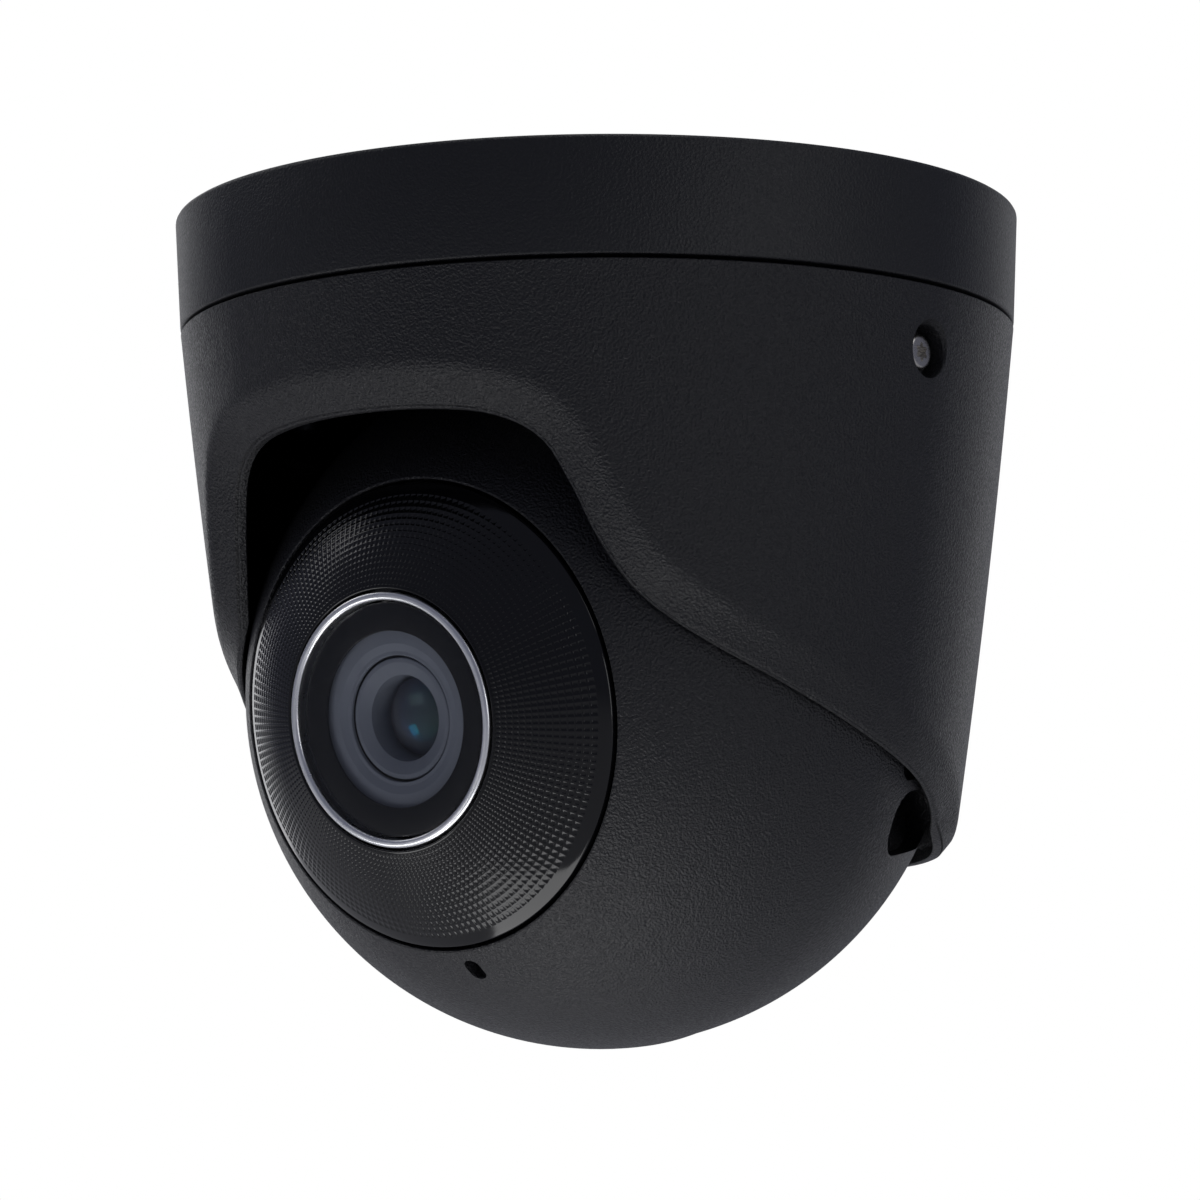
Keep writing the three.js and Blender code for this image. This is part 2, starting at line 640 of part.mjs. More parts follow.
function heatSpreader() {
  const body = turned([[0, 6], [29, 6], [29, 8.5], [9, 8.5], [8, 12.9], [0, 12.9]], 24);
  const ears = atPlaces(disc(3.6, 6, 8.5, 10), CORE_POSTS);
  return cut(join(body, ears), atPlaces(disc(1.5, 0, 20, 8), CORE_POSTS));
}

function mainBoard() {
  const notches = atPlaces(disc(2, -5, 5, 8), onCircle(32.4, [0, 90, 180, 270]));
  return cut(disc(32.2, 0.2, 1.8, 28), notches, atPlaces(disc(1.5, -5, 5, 8), corners(17)));
}

function cardSocket() {
  const body = box([-7.5, -21, -2], [7.5, -6, -0.1]);
  return cut(body, box([-6, -30, -1.6], [6, -7, -0.7]));
}

function pivotScrew() {
  const head = cut(
    turned([[0, 45.05], [4.2, 45.05], [4.2, 45.9], [0, 45.9]], 18),
    ...[0, 60, 120].map((a) => box([-0.35, -1.4, 45.5], [0.35, 1.4, 47]).rotate([0, 0, a])),
  );
  return join(disc(2.65, 42, 45.2, 18), disc(1.7, 37, 42.2, 8), head).rotate([0, 90, 0]);
}

function microphone() {
  const capsule = turned([[0, 34.2], [2, 34.2], [2, 37.2], [0, 37.2]], 16);
  const boot = turned([[2.3, 33.8], [3, 33.8], [3, 37.4], [2.3, 37.4]], 16);
  const aim = (piece) => piece.rotate([MIC_ANGLE - 90, 0, 0]).translate([1.4, 0, 0]);
  return { capsule: aim(capsule), boot: aim(boot) };
}

function rearGland() {
  return turned([
    [2.6, -40.5], [4, -40.5], [5.2, -37.4], [8.6, -37.2], [8.6, -36.3], [6, -36.3], [6, -33.5],
    [7.6, -33.5], [7.6, -32.7], [2.6, -32.7],
  ], 12);
}

function buildBall() {
  const group = new THREE.Group();
  group.position.set(0, 0, BALL_Z);
  group.rotation.x = (90 + LENS_TILT) * DEG;
  addPiece(group, 'front_shell', frontShell(), TEXTURED_PLASTIC);
  addPiece(group, 'rear_shell', rearShell(), TEXTURED_PLASTIC);
  addPiece(group, 'shell_seal', washer(34.6, 36, 0.9, SEAM_REAR - 0.1), RUBBER);
  addPiece(group, 'bezel', bezel(), GLOSS_BLACK);
  addPiece(group, 'bezel_seal', washer(25.9, 28.9, 31.9, 32.6), RUBBER);
  addPiece(group, 'trim_ring', turned([
    [WINDOW_RADIUS, 41.4], [TRIM_RADIUS, 41.4], [TRIM_RADIUS, 43.1], [15.7, 43.37], [15.1, 43.37],
    [WINDOW_RADIUS, 43.1],
  ], 36), BRIGHT_CHROME);
  addPiece(group, 'window_glass', disc(WINDOW_RADIUS - GAP, 42.4, 43.15, 36), WINDOW_GLASS);
  addPiece(group, 'window_mask', washer(MASK_OPENING, WINDOW_RADIUS - GAP, 41.65, 42.1), GLOSS_BLACK);
  addPiece(group, 'lens_surround', washer(7.9, WINDOW_RADIUS - GAP, 40.4, 41.3), GREY_PLASTIC);
  addPiece(group, 'lens_barrel', lensBarrel(), GREY_PLASTIC);
  addPiece(group, 'lens_front_element', frontElement(), LENS_GLASS);
  const rearElement = turned([[0, 23.2], [3.9, 23.9], [3.9, 25.6], [0, 26.2]], 32);
  addPiece(group, 'lens_rear_element', rearElement, LENS_GLASS);
  addPiece(group, 'lens_holder', lensHolder(), BLACK_PLASTIC);
  addPiece(group, 'image_sensor', box([-4, -3.4, 16.9], [4, 3.4, 18]), CHIP);
  const sensorBoard = cut(disc(23, 15, 16.6), atPlaces(disc(3.6, 0, 20, 8), CORE_POSTS));
  addPiece(group, 'sensor_board', sensorBoard, CIRCUIT_BOARD);
  addPiece(group, 'led_board', ledBoard(), CIRCUIT_BOARD);
  [0, 90, 180, 270].forEach((angle, i) => {
    addPiece(group, `infrared_led_${i + 1}`, infraredLed(angle), CHIP);
  });
  addPiece(group, 'chassis', chassis(), BLACK_PLASTIC);
  addPiece(group, 'heat_spreader', heatSpreader(), ALUMINIUM);
  addPiece(group, 'thermal_pad', box([-6, -6, 13.2], [6, 6, 14.7]), PAD);
  addPiece(group, 'main_board', mainBoard(), CIRCUIT_BOARD);
  addPiece(group, 'main_processor', box([-8, -8, 2.1], [8, 8, 4.2]), CHIP);
  addPiece(group, 'memory_card_socket', cardSocket(), STEEL);
  const { capsule, boot } = microphone();
  addPiece(group, 'microphone', capsule, STEEL);
  addPiece(group, 'microphone_boot', boot, RUBBER);
  addPiece(group, 'rear_cable_gland', rearGland(), RUBBER);
  addPiece(group, 'tilt_pivot_right', pivotScrew(), STEEL);
  addPiece(group, 'tilt_pivot_left', mirrored(pivotScrew()), STEEL);
  SHELL_SCREWS.forEach((place, i) => {
    const screw = machineScrew(0.9, 14, 2.3, 1.6).translate([...place, -7.3]);
    addPiece(group, `shell_screw_${i + 1}`, screw, STEEL);
  });
  CORE_POSTS.forEach((place, i) => {
    const screw = machineScrew(0.9, 8, 2.1, 1.2).translate([...place, 5.7]);
    addPiece(group, `core_screw_${i + 1}`, screw, STEEL);
  });
  return group;
}

const camera = new THREE.Group();
camera.add(buildBase(), buildTurret(), buildBall());

export default camera;
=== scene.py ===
# %% [markdown]
# # A ceiling turret camera
# This file is a lesson in modelling small moulded and cast parts. The camera is a ball with a
# lens in it, held in a tapered shroud under a round base. The engineering model is loaded as a
# fixed frame first: it says where every part is and what moves, and nothing here changes that.
# We then model the parts that show, finely, in the same places, and give every part a finish.

import json
import math

import bmesh
import bpy
from mathutils import Matrix, Quaternion, Vector

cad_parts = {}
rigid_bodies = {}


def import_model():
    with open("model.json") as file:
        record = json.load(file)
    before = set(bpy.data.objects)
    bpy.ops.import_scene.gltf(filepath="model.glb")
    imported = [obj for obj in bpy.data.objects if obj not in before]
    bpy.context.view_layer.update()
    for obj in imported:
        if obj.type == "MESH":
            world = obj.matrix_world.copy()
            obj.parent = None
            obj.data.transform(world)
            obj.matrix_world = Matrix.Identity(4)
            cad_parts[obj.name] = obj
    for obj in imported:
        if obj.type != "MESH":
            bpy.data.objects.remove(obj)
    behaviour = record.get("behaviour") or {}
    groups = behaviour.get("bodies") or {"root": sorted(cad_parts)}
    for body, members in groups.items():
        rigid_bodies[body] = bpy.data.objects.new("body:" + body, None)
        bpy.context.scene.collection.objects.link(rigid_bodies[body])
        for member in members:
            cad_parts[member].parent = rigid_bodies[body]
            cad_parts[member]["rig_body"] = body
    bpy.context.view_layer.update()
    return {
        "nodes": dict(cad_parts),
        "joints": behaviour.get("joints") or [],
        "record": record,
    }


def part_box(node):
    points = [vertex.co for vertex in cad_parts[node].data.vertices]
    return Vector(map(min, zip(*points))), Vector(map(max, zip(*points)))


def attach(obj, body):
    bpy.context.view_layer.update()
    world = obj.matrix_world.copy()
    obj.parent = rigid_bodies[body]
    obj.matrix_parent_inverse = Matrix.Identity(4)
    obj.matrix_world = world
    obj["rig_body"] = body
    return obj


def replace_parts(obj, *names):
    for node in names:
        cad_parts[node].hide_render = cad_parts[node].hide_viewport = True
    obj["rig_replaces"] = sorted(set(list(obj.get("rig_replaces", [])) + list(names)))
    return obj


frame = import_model()

# %% [markdown]
# ## Sizes
# The parts are drawn in millimetres, as on a workshop drawing, and Blender works in metres, so
# one constant turns the one into the other. The overall sizes are read from the frame, and the
# rest are the driving dimensions of the design: the ball, its tilt and the seams.

# %% Driving dimensions
MM = 0.001
DEG = math.pi / 180
BASE_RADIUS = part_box("base_housing")[1].x / MM
SEAM_Z = -14.68  # lower edge of the base's band
SEAM_RADIUS = 54.81
SHROUD_TOP = -15.1
BALL_Z = frame["joints"][1]["pos_m"][2] / MM
BALL_RADIUS = 46.26
REAR_RADIUS = 45.95
SHELL_WALL = 2.2
LENS_TILT = 8.802  # degrees that the lens looks below the horizontal
BEZEL_RADIUS = 29.15
TRIM_RADIUS = 15.93
WINDOW_RADIUS = 14.57
FINE_STEPS = 256  # faces round the large parts
MEDIUM_STEPS = 160  # faces round the rings and seals
SMALL_STEPS = 72  # faces round the small ones
print("base radius", round(BASE_RADIUS, 2), "ball centre at", round(BALL_Z, 2))

# %% [markdown]
# ## Camera, floor and light
# A dark object is shown by what it reflects, so it needs a bright surround and soft lamps. The
# camera stands well back with a long lens, a little below the object, which is how one sees a
# ceiling camera. The floor is plain and pale and far enough down to stay out of the way.

# %% Camera
CAMERA_PLACE = Vector((0.388705, -0.498773, -0.129605))
CAMERA_AIM = Vector((0.0033, -0.0041, -0.0507))
CAMERA_ROLL = 0.48 * DEG
camera_data = bpy.data.cameras.new("camera")
camera_data.lens = 145.83
camera_data.sensor_width = 36
camera = bpy.data.objects.new("camera", camera_data)
bpy.context.scene.collection.objects.link(camera)
looking = (CAMERA_AIM - CAMERA_PLACE).normalized()
camera.location = CAMERA_PLACE
camera.rotation_mode = "QUATERNION"
camera.rotation_quaternion = Quaternion(looking, CAMERA_ROLL) @ looking.to_track_quat("-Z", "Y")
bpy.context.scene.camera = camera
bpy.context.scene.view_settings.view_transform = "Standard"
print("camera looks along", tuple(round(v, 3) for v in looking))

# %% [markdown]
# The tall and the high lamps give the walls a broad, quiet sheen. The two rim lamps stand behind
# the object, where a matt surface reflects most, and draw its left and right edges. The small low
# lamps stand in for light off a table: they shape the ball's underside, the bezel's dimples and
# the chrome. The top lamp is for the ceiling face and the floor.

# %% Soft lamps
OBJECT_MIDDLE = Vector((0, 0, -0.055))


def soft_lamp(name, place, width, height, watts):
    light = bpy.data.lights.new(name, "AREA")
    light.shape = "RECTANGLE"
    light.size = width
    light.size_y = height
    light.energy = watts
    lamp = bpy.data.objects.new(name, light)
    bpy.context.scene.collection.objects.link(lamp)
    lamp.location = place
    lamp.rotation_mode = "QUATERNION"
    lamp.rotation_quaternion = (OBJECT_MIDDLE - Vector(place)).to_track_quat("-Z", "Y")
    return lamp


soft_lamp("right_tall_lamp", (1.05, -0.2, -0.1), 0.35, 0.6, 1.1)
soft_lamp("right_high_lamp", (0.85, 0.1, 0.65), 0.45, 0.45, 0.6)
soft_lamp("left_high_lamp", (-0.83, -0.12, 0.65), 0.45, 0.45, 0.9)
soft_lamp("left_rim_lamp", (-1.0, 0.46, 0.1), 0.4, 0.9, 1.3)
soft_lamp("right_rim_lamp", (-0.12, 1.1, 0.05), 0.4, 0.9, 0.85)
soft_lamp("top_lamp", (0, 0, 1.3), 0.8, 0.8, 2.5)
soft_lamp("front_low_lamp", (-0.146, -0.208, -0.21), 0.1, 0.1, 0.09)
soft_lamp("low_lamp", (0.01, -0.04, -0.232), 0.13, 0.13, 0.12)

# %% Floor and surround
bpy.ops.mesh.primitive_plane_add(size=4, location=(0, 0, -0.24))
floor = bpy.context.object
floor.name = "studio_floor"
pale = bpy.data.materials.new("pale_floor")
pale.use_nodes = True
pale.node_tree.nodes["Principled BSDF"].inputs["Base Color"].default_value = (0.88, 0.88, 0.88, 1)
pale.node_tree.nodes["Principled BSDF"].inputs["Roughness"].default_value = 0.7
floor.data.materials.append(pale)

world = bpy.data.worlds.new("studio")
bpy.context.scene.world = world
world.use_nodes = True
sky = world.node_tree
ambient = sky.nodes["Background"]
ambient.inputs["Color"].default_value = (0.82, 0.86, 1.12, 1)
ambient.inputs["Strength"].default_value = 0.14
backdrop = sky.nodes.new("ShaderNodeBackground")
backdrop.inputs["Color"].default_value = (1, 1, 1, 1)
seen = sky.nodes.new("ShaderNodeLightPath")
either = sky.nodes.new("ShaderNodeMixShader")
sky.links.new(seen.outputs["Is Camera Ray"], either.inputs[0])
sky.links.new(ambient.outputs[0], either.inputs[1])
sky.links.new(backdrop.outputs[0], either.inputs[2])
sky.links.new(either.outputs[0], sky.nodes["World Output"].inputs["Surface"])
print("floor at", round(floor.location.z, 3))

# %% [markdown]
# ## Finishes
# Every finish is one Principled shader with its pattern made by nodes. Object coordinates are in
# metres here, so a noise of scale 2000 has grains of half a millimetre. A small helper makes the
# shader and wires a grain to its bump and its roughness; each finish then says only what differs.

# %% Helper for finishes
def new_finish(name, colour, roughness, metallic=0.0):
    material = bpy.data.materials.new(name)
    material.use_nodes = True
    shader = material.node_tree.nodes["Principled BSDF"]
    shader.inputs["Base Color"].default_value = (*colour, 1)
    shader.inputs["Roughness"].default_value = roughness
    shader.inputs["Metallic"].default_value = metallic
    return material, shader


def noise(material, scale, detail=3.0, stretch=(1, 1, 1)):
    nodes, links = material.node_tree.nodes, material.node_tree.links
    place = nodes.new("ShaderNodeTexCoord")
    mapping = nodes.new("ShaderNodeMapping")
    mapping.inputs["Scale"].default_value = stretch
    texture = nodes.new("ShaderNodeTexNoise")
    texture.inputs["Scale"].default_value = scale
    texture.inputs["Detail"].default_value = detail
    links.new(place.outputs["Object"], mapping.inputs["Vector"])
    links.new(mapping.outputs["Vector"], texture.inputs["Vector"])
    return texture.outputs["Fac"]


def glossed(material, shader, value, low, high):
    """Lets a pattern move the roughness between two values."""
    nodes, links = material.node_tree.nodes, material.node_tree.links
    spread = nodes.new("ShaderNodeMapRange")
    spread.inputs["From Min"].default_value = 0.3
    spread.inputs["From Max"].default_value = 0.7
    spread.inputs["To Min"].default_value = low
    spread.inputs["To Max"].default_value = high
    links.new(value, spread.inputs["Value"])
    links.new(spread.outputs["Result"], shader.inputs["Roughness"])


def tinted(material, shader, value, dark, light):
    """Lets a pattern move the colour between two tints."""
    nodes, links = material.node_tree.nodes, material.node_tree.links
    ramp = nodes.new("ShaderNodeValToRGB")
    ramp.color_ramp.elements[0].position = 0.35
    ramp.color_ramp.elements[0].color = (*dark, 1)
    ramp.color_ramp.elements[1].position = 0.65
    ramp.color_ramp.elements[1].color = (*light, 1)
    links.new(value, ramp.inputs["Fac"])
    links.new(ramp.outputs["Color"], shader.inputs["Base Color"])


def bumped(material, shader, height, depth):
    """Gives the surface a relief that is depth millimetres deep."""
    nodes, links = material.node_tree.nodes, material.node_tree.links
    bump = nodes.new("ShaderNodeBump")
    bump.inputs["Strength"].default_value = 1
    bump.inputs["Distance"].default_value = depth * MM
    links.new(height, bump.inputs["Height"])
    links.new(bump.outputs["Normal"], shader.inputs["Normal"])


print("finish helpers ready")

# %% [markdown]
# ### Powder coat and textured plastic
# The base is an aluminium casting under a fine powder coat. The shroud and the ball are moulded
# in a plastic that takes a coarser, sparkling grain from its eroded mould. Both are near black
# with a hint of blue. One fine noise makes the grain's relief, its gloss and its tint together,
# so the hollows between the grains are a little duller than their tops, and darker: that
# darkening is painted shade at the grain's scale.

# %% Outer finishes
def painted_casting():
    material, shader = new_finish("powder_coat", (0.010, 0.0105, 0.0125), 0.5)
    grain = noise(material, 3000, 2)
    bumped(material, shader, grain, 0.13)
    glossed(material, shader, grain, 0.54, 0.4)
    # The tint darkens the grain's hollows: painted shade at the grain's scale.
    tinted(material, shader, grain, (0.008, 0.0085, 0.0105), (0.012, 0.0125, 0.0145))
    return material


def textured_shell():
    material, shader = new_finish("grained_plastic", (0.010, 0.010, 0.012), 0.45)
    grain = noise(material, 3000, 2)
    bumped(material, shader, grain, 0.3)
    glossed(material, shader, grain, 0.55, 0.3)
    # The tint darkens the grain's hollows: painted shade at the grain's scale.
    tinted(material, shader, grain, (0.0075, 0.0078, 0.0095), (0.0125, 0.0125, 0.0145))
    return material


print(painted_casting.__name__, textured_shell.__name__)

# %% [markdown]
# ### Gloss, chrome and glass
# The bezel is polished black polycarbonate, dark to the eye and clear to infrared. Its dimples
# are real geometry, so its shader needs only gloss and a faint flow mark. The trim is chrome with
# a satin polish. The window is clear glass: a pane this thin is best as a surface that is nearly
# all see-through, so that light reaches the lens behind it, with a clear coat for reflections.
# The lens is coated and only partly clear; its grey veil is a painted reflection, the window's haze of
# the bright studio laid into the lens's colour.

# %% Gloss finishes
def gloss_bezel():
    material, shader = new_finish("infrared_black_gloss", (0.0035, 0.0035, 0.0042), 0.1)
    flow = noise(material, 90)
    glossed(material, shader, flow, 0.07, 0.13)
    return material


def trim_chrome():
    material, shader = new_finish("bright_chrome", (0.93, 0.94, 0.96), 0.3, 1.0)
    wear = noise(material, 400)
    glossed(material, shader, wear, 0.26, 0.34)
    return material


def window_glass():
    material, shader = new_finish("clear_window", (0.02, 0.022, 0.026), 0.02)
    shader.inputs["Alpha"].default_value = 0.14
    shader.inputs["Coat Weight"].default_value = 1.0
    haze = noise(material, 30)
    glossed(material, shader, haze, 0.01, 0.04)
    return material


def lens_glass():
    # The grey-blue colour holds a painted reflection: the window's haze of the bright studio.
    material, shader = new_finish("coated_lens_and_painted_haze", (0.3, 0.34, 0.41), 0.01)
    shader.inputs["Transmission Weight"].default_value = 0.7
    shader.inputs["IOR"].default_value = 1.6
    shader.inputs["Thin Film Thickness"].default_value = 380
    shader.inputs["Thin Film IOR"].default_value = 1.38
    bloom = noise(material, 120)
    glossed(material, shader, bloom, 0.0, 0.02)
    return material


print(gloss_bezel.__name__, trim_chrome.__name__, window_glass.__name__, lens_glass.__name__)

# %% [markdown]
# ### Finishes of the parts inside
# Inside are machined aluminium, bright steel, rubber, two plain plastics, circuit boards with
# copper tracks under green lacquer, dark chip resin and a grey silicone pad. The aluminium's near
# black colour is partly its own finish and partly painted shade for the dark inside. Each gets
# its own pattern: brushing on the metals, a dusty bloom on the rubber, and tracks on the boards,
# drawn by a brick texture.

# %% Inner finishes
def black_plastic():
    material, shader = new_finish("black_moulding", (0.012, 0.012, 0.013), 0.5)
    grain = noise(material, 3200, 2)
    bumped(material, shader, grain, 0.02)
    glossed(material, shader, grain, 0.44, 0.56)
    return material


def grey_plastic():
    # The grey is partly the surround's own and partly a painted reflection: the window's haze of the
    # bright studio.
    material, shader = new_finish("grey_surround_and_painted_haze", (0.23, 0.255, 0.31), 0.6)
    grain = noise(material, 2400, 2)
    bumped(material, shader, grain, 0.012)
    tinted(material, shader, noise(material, 150), (0.22, 0.245, 0.3), (0.24, 0.265, 0.32))
    return material


def brushed_metal(name, colour, roughness, depth):
    material, shader = new_finish(name, colour, roughness, 1.0)
    lines = noise(material, 900, 4, stretch=(1, 1, 14))
    bumped(material, shader, lines, depth)
    glossed(material, shader, lines, roughness * 0.8, roughness * 1.25)
    return material


def cast_aluminium():
    # Near black: partly the metal's black finish, partly painted shade for the dark inside seen past the
    # ball.
    return brushed_metal("blackened_aluminium_and_painted_shade", (0.02, 0.021, 0.024), 0.5, 0.01)


def bright_steel():
    return brushed_metal("bright_steel_finish", (0.62, 0.6, 0.57), 0.28, 0.004)


def seal_rubber():
    material, shader = new_finish("black_rubber", (0.016, 0.016, 0.017), 0.8)
    bloom = noise(material, 260, 4)
    bumped(material, shader, bloom, 0.03)
    tinted(material, shader, bloom, (0.012, 0.012, 0.013), (0.024, 0.024, 0.025))
    return material


def acetal():
    material, shader = new_finish("white_acetal", (0.66, 0.64, 0.58), 0.42)
    grain = noise(material, 700)
    glossed(material, shader, grain, 0.36, 0.48)
    return material


def circuit_board():
    material, shader = new_finish("green_lacquered_board", (0.01, 0.07, 0.03), 0.35)
    nodes, links = material.node_tree.nodes, material.node_tree.links
    place = nodes.new("ShaderNodeTexCoord")
    tracks = nodes.new("ShaderNodeTexBrick")
    tracks.inputs["Scale"].default_value = 260
    tracks.inputs["Mortar Size"].default_value = 0.035
    tracks.inputs["Color1"].default_value = (0.008, 0.055, 0.022, 1)
    tracks.inputs["Color2"].default_value = (0.011, 0.07, 0.03, 1)
    tracks.inputs["Mortar"].default_value = (0.03, 0.15, 0.06, 1)
    links.new(place.outputs["Object"], tracks.inputs["Vector"])
    links.new(tracks.outputs["Color"], shader.inputs["Base Color"])
    bumped(material, shader, tracks.outputs["Fac"], 0.03)
    return material


def chip_resin():
    material, shader = new_finish("chip_resin_finish", (0.018, 0.018, 0.02), 0.5)
    grain = noise(material, 3000)
    bumped(material, shader, grain, 0.008)
    glossed(material, shader, grain, 0.42, 0.58)
    return material


def thermal_silicone():
    material, shader = new_finish("silicone_pad", (0.24, 0.27, 0.33), 0.85)
    grain = noise(material, 1200)
    bumped(material, shader, grain, 0.02)
    tinted(material, shader, grain, (0.21, 0.24, 0.3), (0.27, 0.3, 0.36))
    return material


MAKERS = (
    painted_casting, textured_shell, gloss_bezel, black_plastic, grey_plastic, trim_chrome,
    window_glass, lens_glass, cast_aluminium, bright_steel, seal_rubber, acetal, circuit_board,
    chip_resin, thermal_silicone,
)
FINISHES = {maker.__name__: maker() for maker in MAKERS}
print("finishes:", len(FINISHES))

# %% [markdown]
# ## Helpers for modelling
# Most parts of this camera are turned shapes, so the main helper is a small lathe: a circle with
# as many corners as the outline has is added, its corners are moved to the outline, and the Spin
# operator carries it round. A second helper rounds an outline's corners, since no moulded edge is
# sharp and the fine rounding is what catches the light.

# %% Outlines
def rounded(corners, steps=4):
    """Each corner is (radius, height) or (radius, height, rounding). Returns the outline."""
    outline = []
    for i, (radius, height, *rounding) in enumerate(corners):
        if not rounding:
            outline.append((radius, height))
            continue
        here = Vector((radius, height))
        back = (Vector(corners[i - 1][:2]) - here).normalized()
        ahead = (Vector(corners[(i + 1) % len(corners)][:2]) - here).normalized()
        half = back.angle(ahead) / 2
        centre = here + (back + ahead).normalized() * rounding[0] / math.sin(half)
        first = here + back * rounding[0] / math.tan(half) - centre
        last = here + ahead * rounding[0] / math.tan(half) - centre
        for k in range(steps + 1):
            arm = first.lerp(last, k / steps).normalized() * rounding[0]
            outline.append(tuple(centre + arm))
    return outline


def arc(radius, start, end, steps):
    """Outline points on a ball of that radius, between two angles from its pole, in degrees."""
    angles = [(start + (end - start) * i / steps) * DEG for i in range(steps + 1)]
    return [(radius * math.sin(a), radius * math.cos(a)) for a in angles]


def pole_angle(radius, height):
    return math.acos(height / radius) / DEG


print("a rounded square has", len(rounded([(1, 0, 0.1), (2, 0, 0.1), (2, 1, 0.1), (1, 1, 0.1)])))

# %% Selecting, editing and the lathe
def select_only(piece):
    bpy.ops.object.select_all(action="DESELECT")
    piece.select_set(True)
    bpy.context.view_layer.objects.active = piece


def edit(piece, *steps):
    """Runs edit-mode operators, each given as (operator, settings), on the whole mesh."""
    select_only(piece)
    bpy.ops.object.mode_set(mode="EDIT")
    bpy.ops.mesh.select_mode(type="VERT")
    bpy.ops.mesh.select_all(action="SELECT")
    for operator, settings in steps:
        operator(**settings)
    bpy.ops.object.mode_set(mode="OBJECT")


CLEAN = (
    (bpy.ops.mesh.select_all, {"action": "SELECT"}),
    (bpy.ops.mesh.remove_doubles, {"threshold": 0.002 * MM}),
    (bpy.ops.mesh.normals_make_consistent, {"inside": False}),
)


def ring_of(points):
    """A loop of edges through points in millimetres."""
    bpy.ops.object.select_all(action="DESELECT")
    bpy.ops.mesh.primitive_circle_add(vertices=len(points), radius=MM)
    piece = bpy.context.object
    for corner, point in zip(piece.data.vertices, points):
        corner.co = Vector(point) * MM
    return piece


def turned(outline, steps=SMALL_STEPS):
    """Spins a closed outline of (radius, height) round the Z axis."""
    piece = ring_of([(radius, 0, height) for radius, height in outline])
    full_turn = {"steps": steps, "angle": 2 * math.pi, "center": (0, 0, 0), "axis": (0, 0, 1)}
    edit(piece, (bpy.ops.mesh.spin, full_turn), *CLEAN)
    return piece


def rod(radius, low, high, steps=SMALL_STEPS):
    """A plain round bar between two heights, for posts and for cutting holes."""
    return turned([(0, low), (radius, low), (radius, high), (0, high)], steps)


def prism(points, low, high):
    """A plate with a flat outline of (x, y), between two heights."""
    piece = ring_of([(x, y, low) for x, y in points])
    rise = {"TRANSFORM_OT_translate": {"value": (0, 0, (high - low) * MM)}}
    edit(
        piece,
        (bpy.ops.mesh.edge_face_add, {}),
        (bpy.ops.mesh.extrude_region_move, rise),
        *CLEAN,
    )
    return piece


def box_outline(x0, y0, x1, y1, corner):
    square = [(x1, y1, corner), (x0, y1, corner), (x0, y0, corner), (x1, y0, corner)]
    return rounded(square, 6)


print("lathe ready")

# %% [markdown]
# ### Placing, joining and cutting
# A part is modelled at the origin and then put in place with its transform applied, so that its
# place is in its mesh. Holes are cut with cutters that flare at the mouth, which gives each hole
# a softly broken edge. Everything that belongs to the ball is drawn in the ball's own frame, with
# the lens along +Z, and turned into place by one matrix.

# %% Placing and booleans
BALL_FRAME = (
    Matrix.Translation((0, 0, BALL_Z * MM)) @ Matrix.Rotation((90 + LENS_TILT) * DEG, 4, "X")
)
ALONG_X = Matrix.Rotation(90 * DEG, 4, "Y")
MIRROR_X = Matrix.Scale(-1, 4, (1, 0, 0))


def moved(x, y, z=0.0):
    return Matrix.Translation(Vector((x, y, z)) * MM)


def round_z(angle):
    return Matrix.Rotation(angle * DEG, 4, "Z")


def placed(piece, matrix):
    """Applies a placement to the mesh; a mirrored one has its faces turned out again."""
    select_only(piece)
    piece.matrix_world = matrix
    bpy.ops.object.transform_apply(location=True, rotation=True, scale=True)
    if matrix.is_negative:
        edit(piece, (bpy.ops.mesh.normals_make_consistent, {"inside": False}))
    return piece


def copy_of(piece, matrix=None):
    twin = piece.copy()
    twin.data = piece.data.copy()
    bpy.context.scene.collection.objects.link(twin)
    return placed(twin, matrix) if matrix else twin


def copies_at(piece, matrices):
    """Copies of a shape at each placement, as one object. The model itself is used up."""
    made = [copy_of(piece, matrix) for matrix in matrices]
    bpy.data.objects.remove(piece)
    return as_one(made)


def as_one(pieces):
    select_only(pieces[0])
    for piece in pieces[1:]:
        piece.select_set(True)
    bpy.ops.object.join()
    return pieces[0]


def carve(piece, tool, how="DIFFERENCE"):
    """Cuts, joins or intersects a piece with a tool, which is used up."""
    select_only(piece)
    step = piece.modifiers.new("carve", "BOOLEAN")
    step.operation = how
    step.solver = "EXACT"
    step.object = tool
    bpy.ops.object.modifier_apply(modifier=step.name)
    bpy.data.objects.remove(tool)
    return piece


def softened(piece, width):
    """Breaks the sharp edges with a narrow bevel."""
    select_only(piece)
    step = piece.modifiers.new("edges", "BEVEL")
    step.width = width * MM
    step.segments = 2
    step.limit_method = "ANGLE"
    step.angle_limit = 40 * DEG
    bpy.ops.object.modifier_apply(modifier=step.name)
    return piece


def hole_cutter(radius, low, high):
    """A round cutter for a hole that opens upwards at high, with a flared mouth."""
    flare = 0.4
    return turned([
        (0, low), (radius, low), (radius, high - flare), (radius + flare * 0.3, high - flare * 0.35),
        (radius + flare, high), (radius + 3 * flare, high + 2 * flare), (0, high + 2 * flare),
    ])


def keep(piece, node, name, slot=None, smooth=35):
    """Finishes a piece that stands for a CAD part: smooth shading, finish, body and slot."""
    slot = slot or SLOT_OF[node]
    piece.name = name
    piece.data.name = name
    select_only(piece)
    bpy.ops.object.shade_smooth_by_angle(angle=smooth * DEG)
    piece.data.materials.clear()
    piece.data.materials.append(FINISHES[slot])
    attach(piece, frame["nodes"][node]["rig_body"])
    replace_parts(piece, node)
    print(f"{name}: {len(piece.data.polygons)} faces")
    return piece


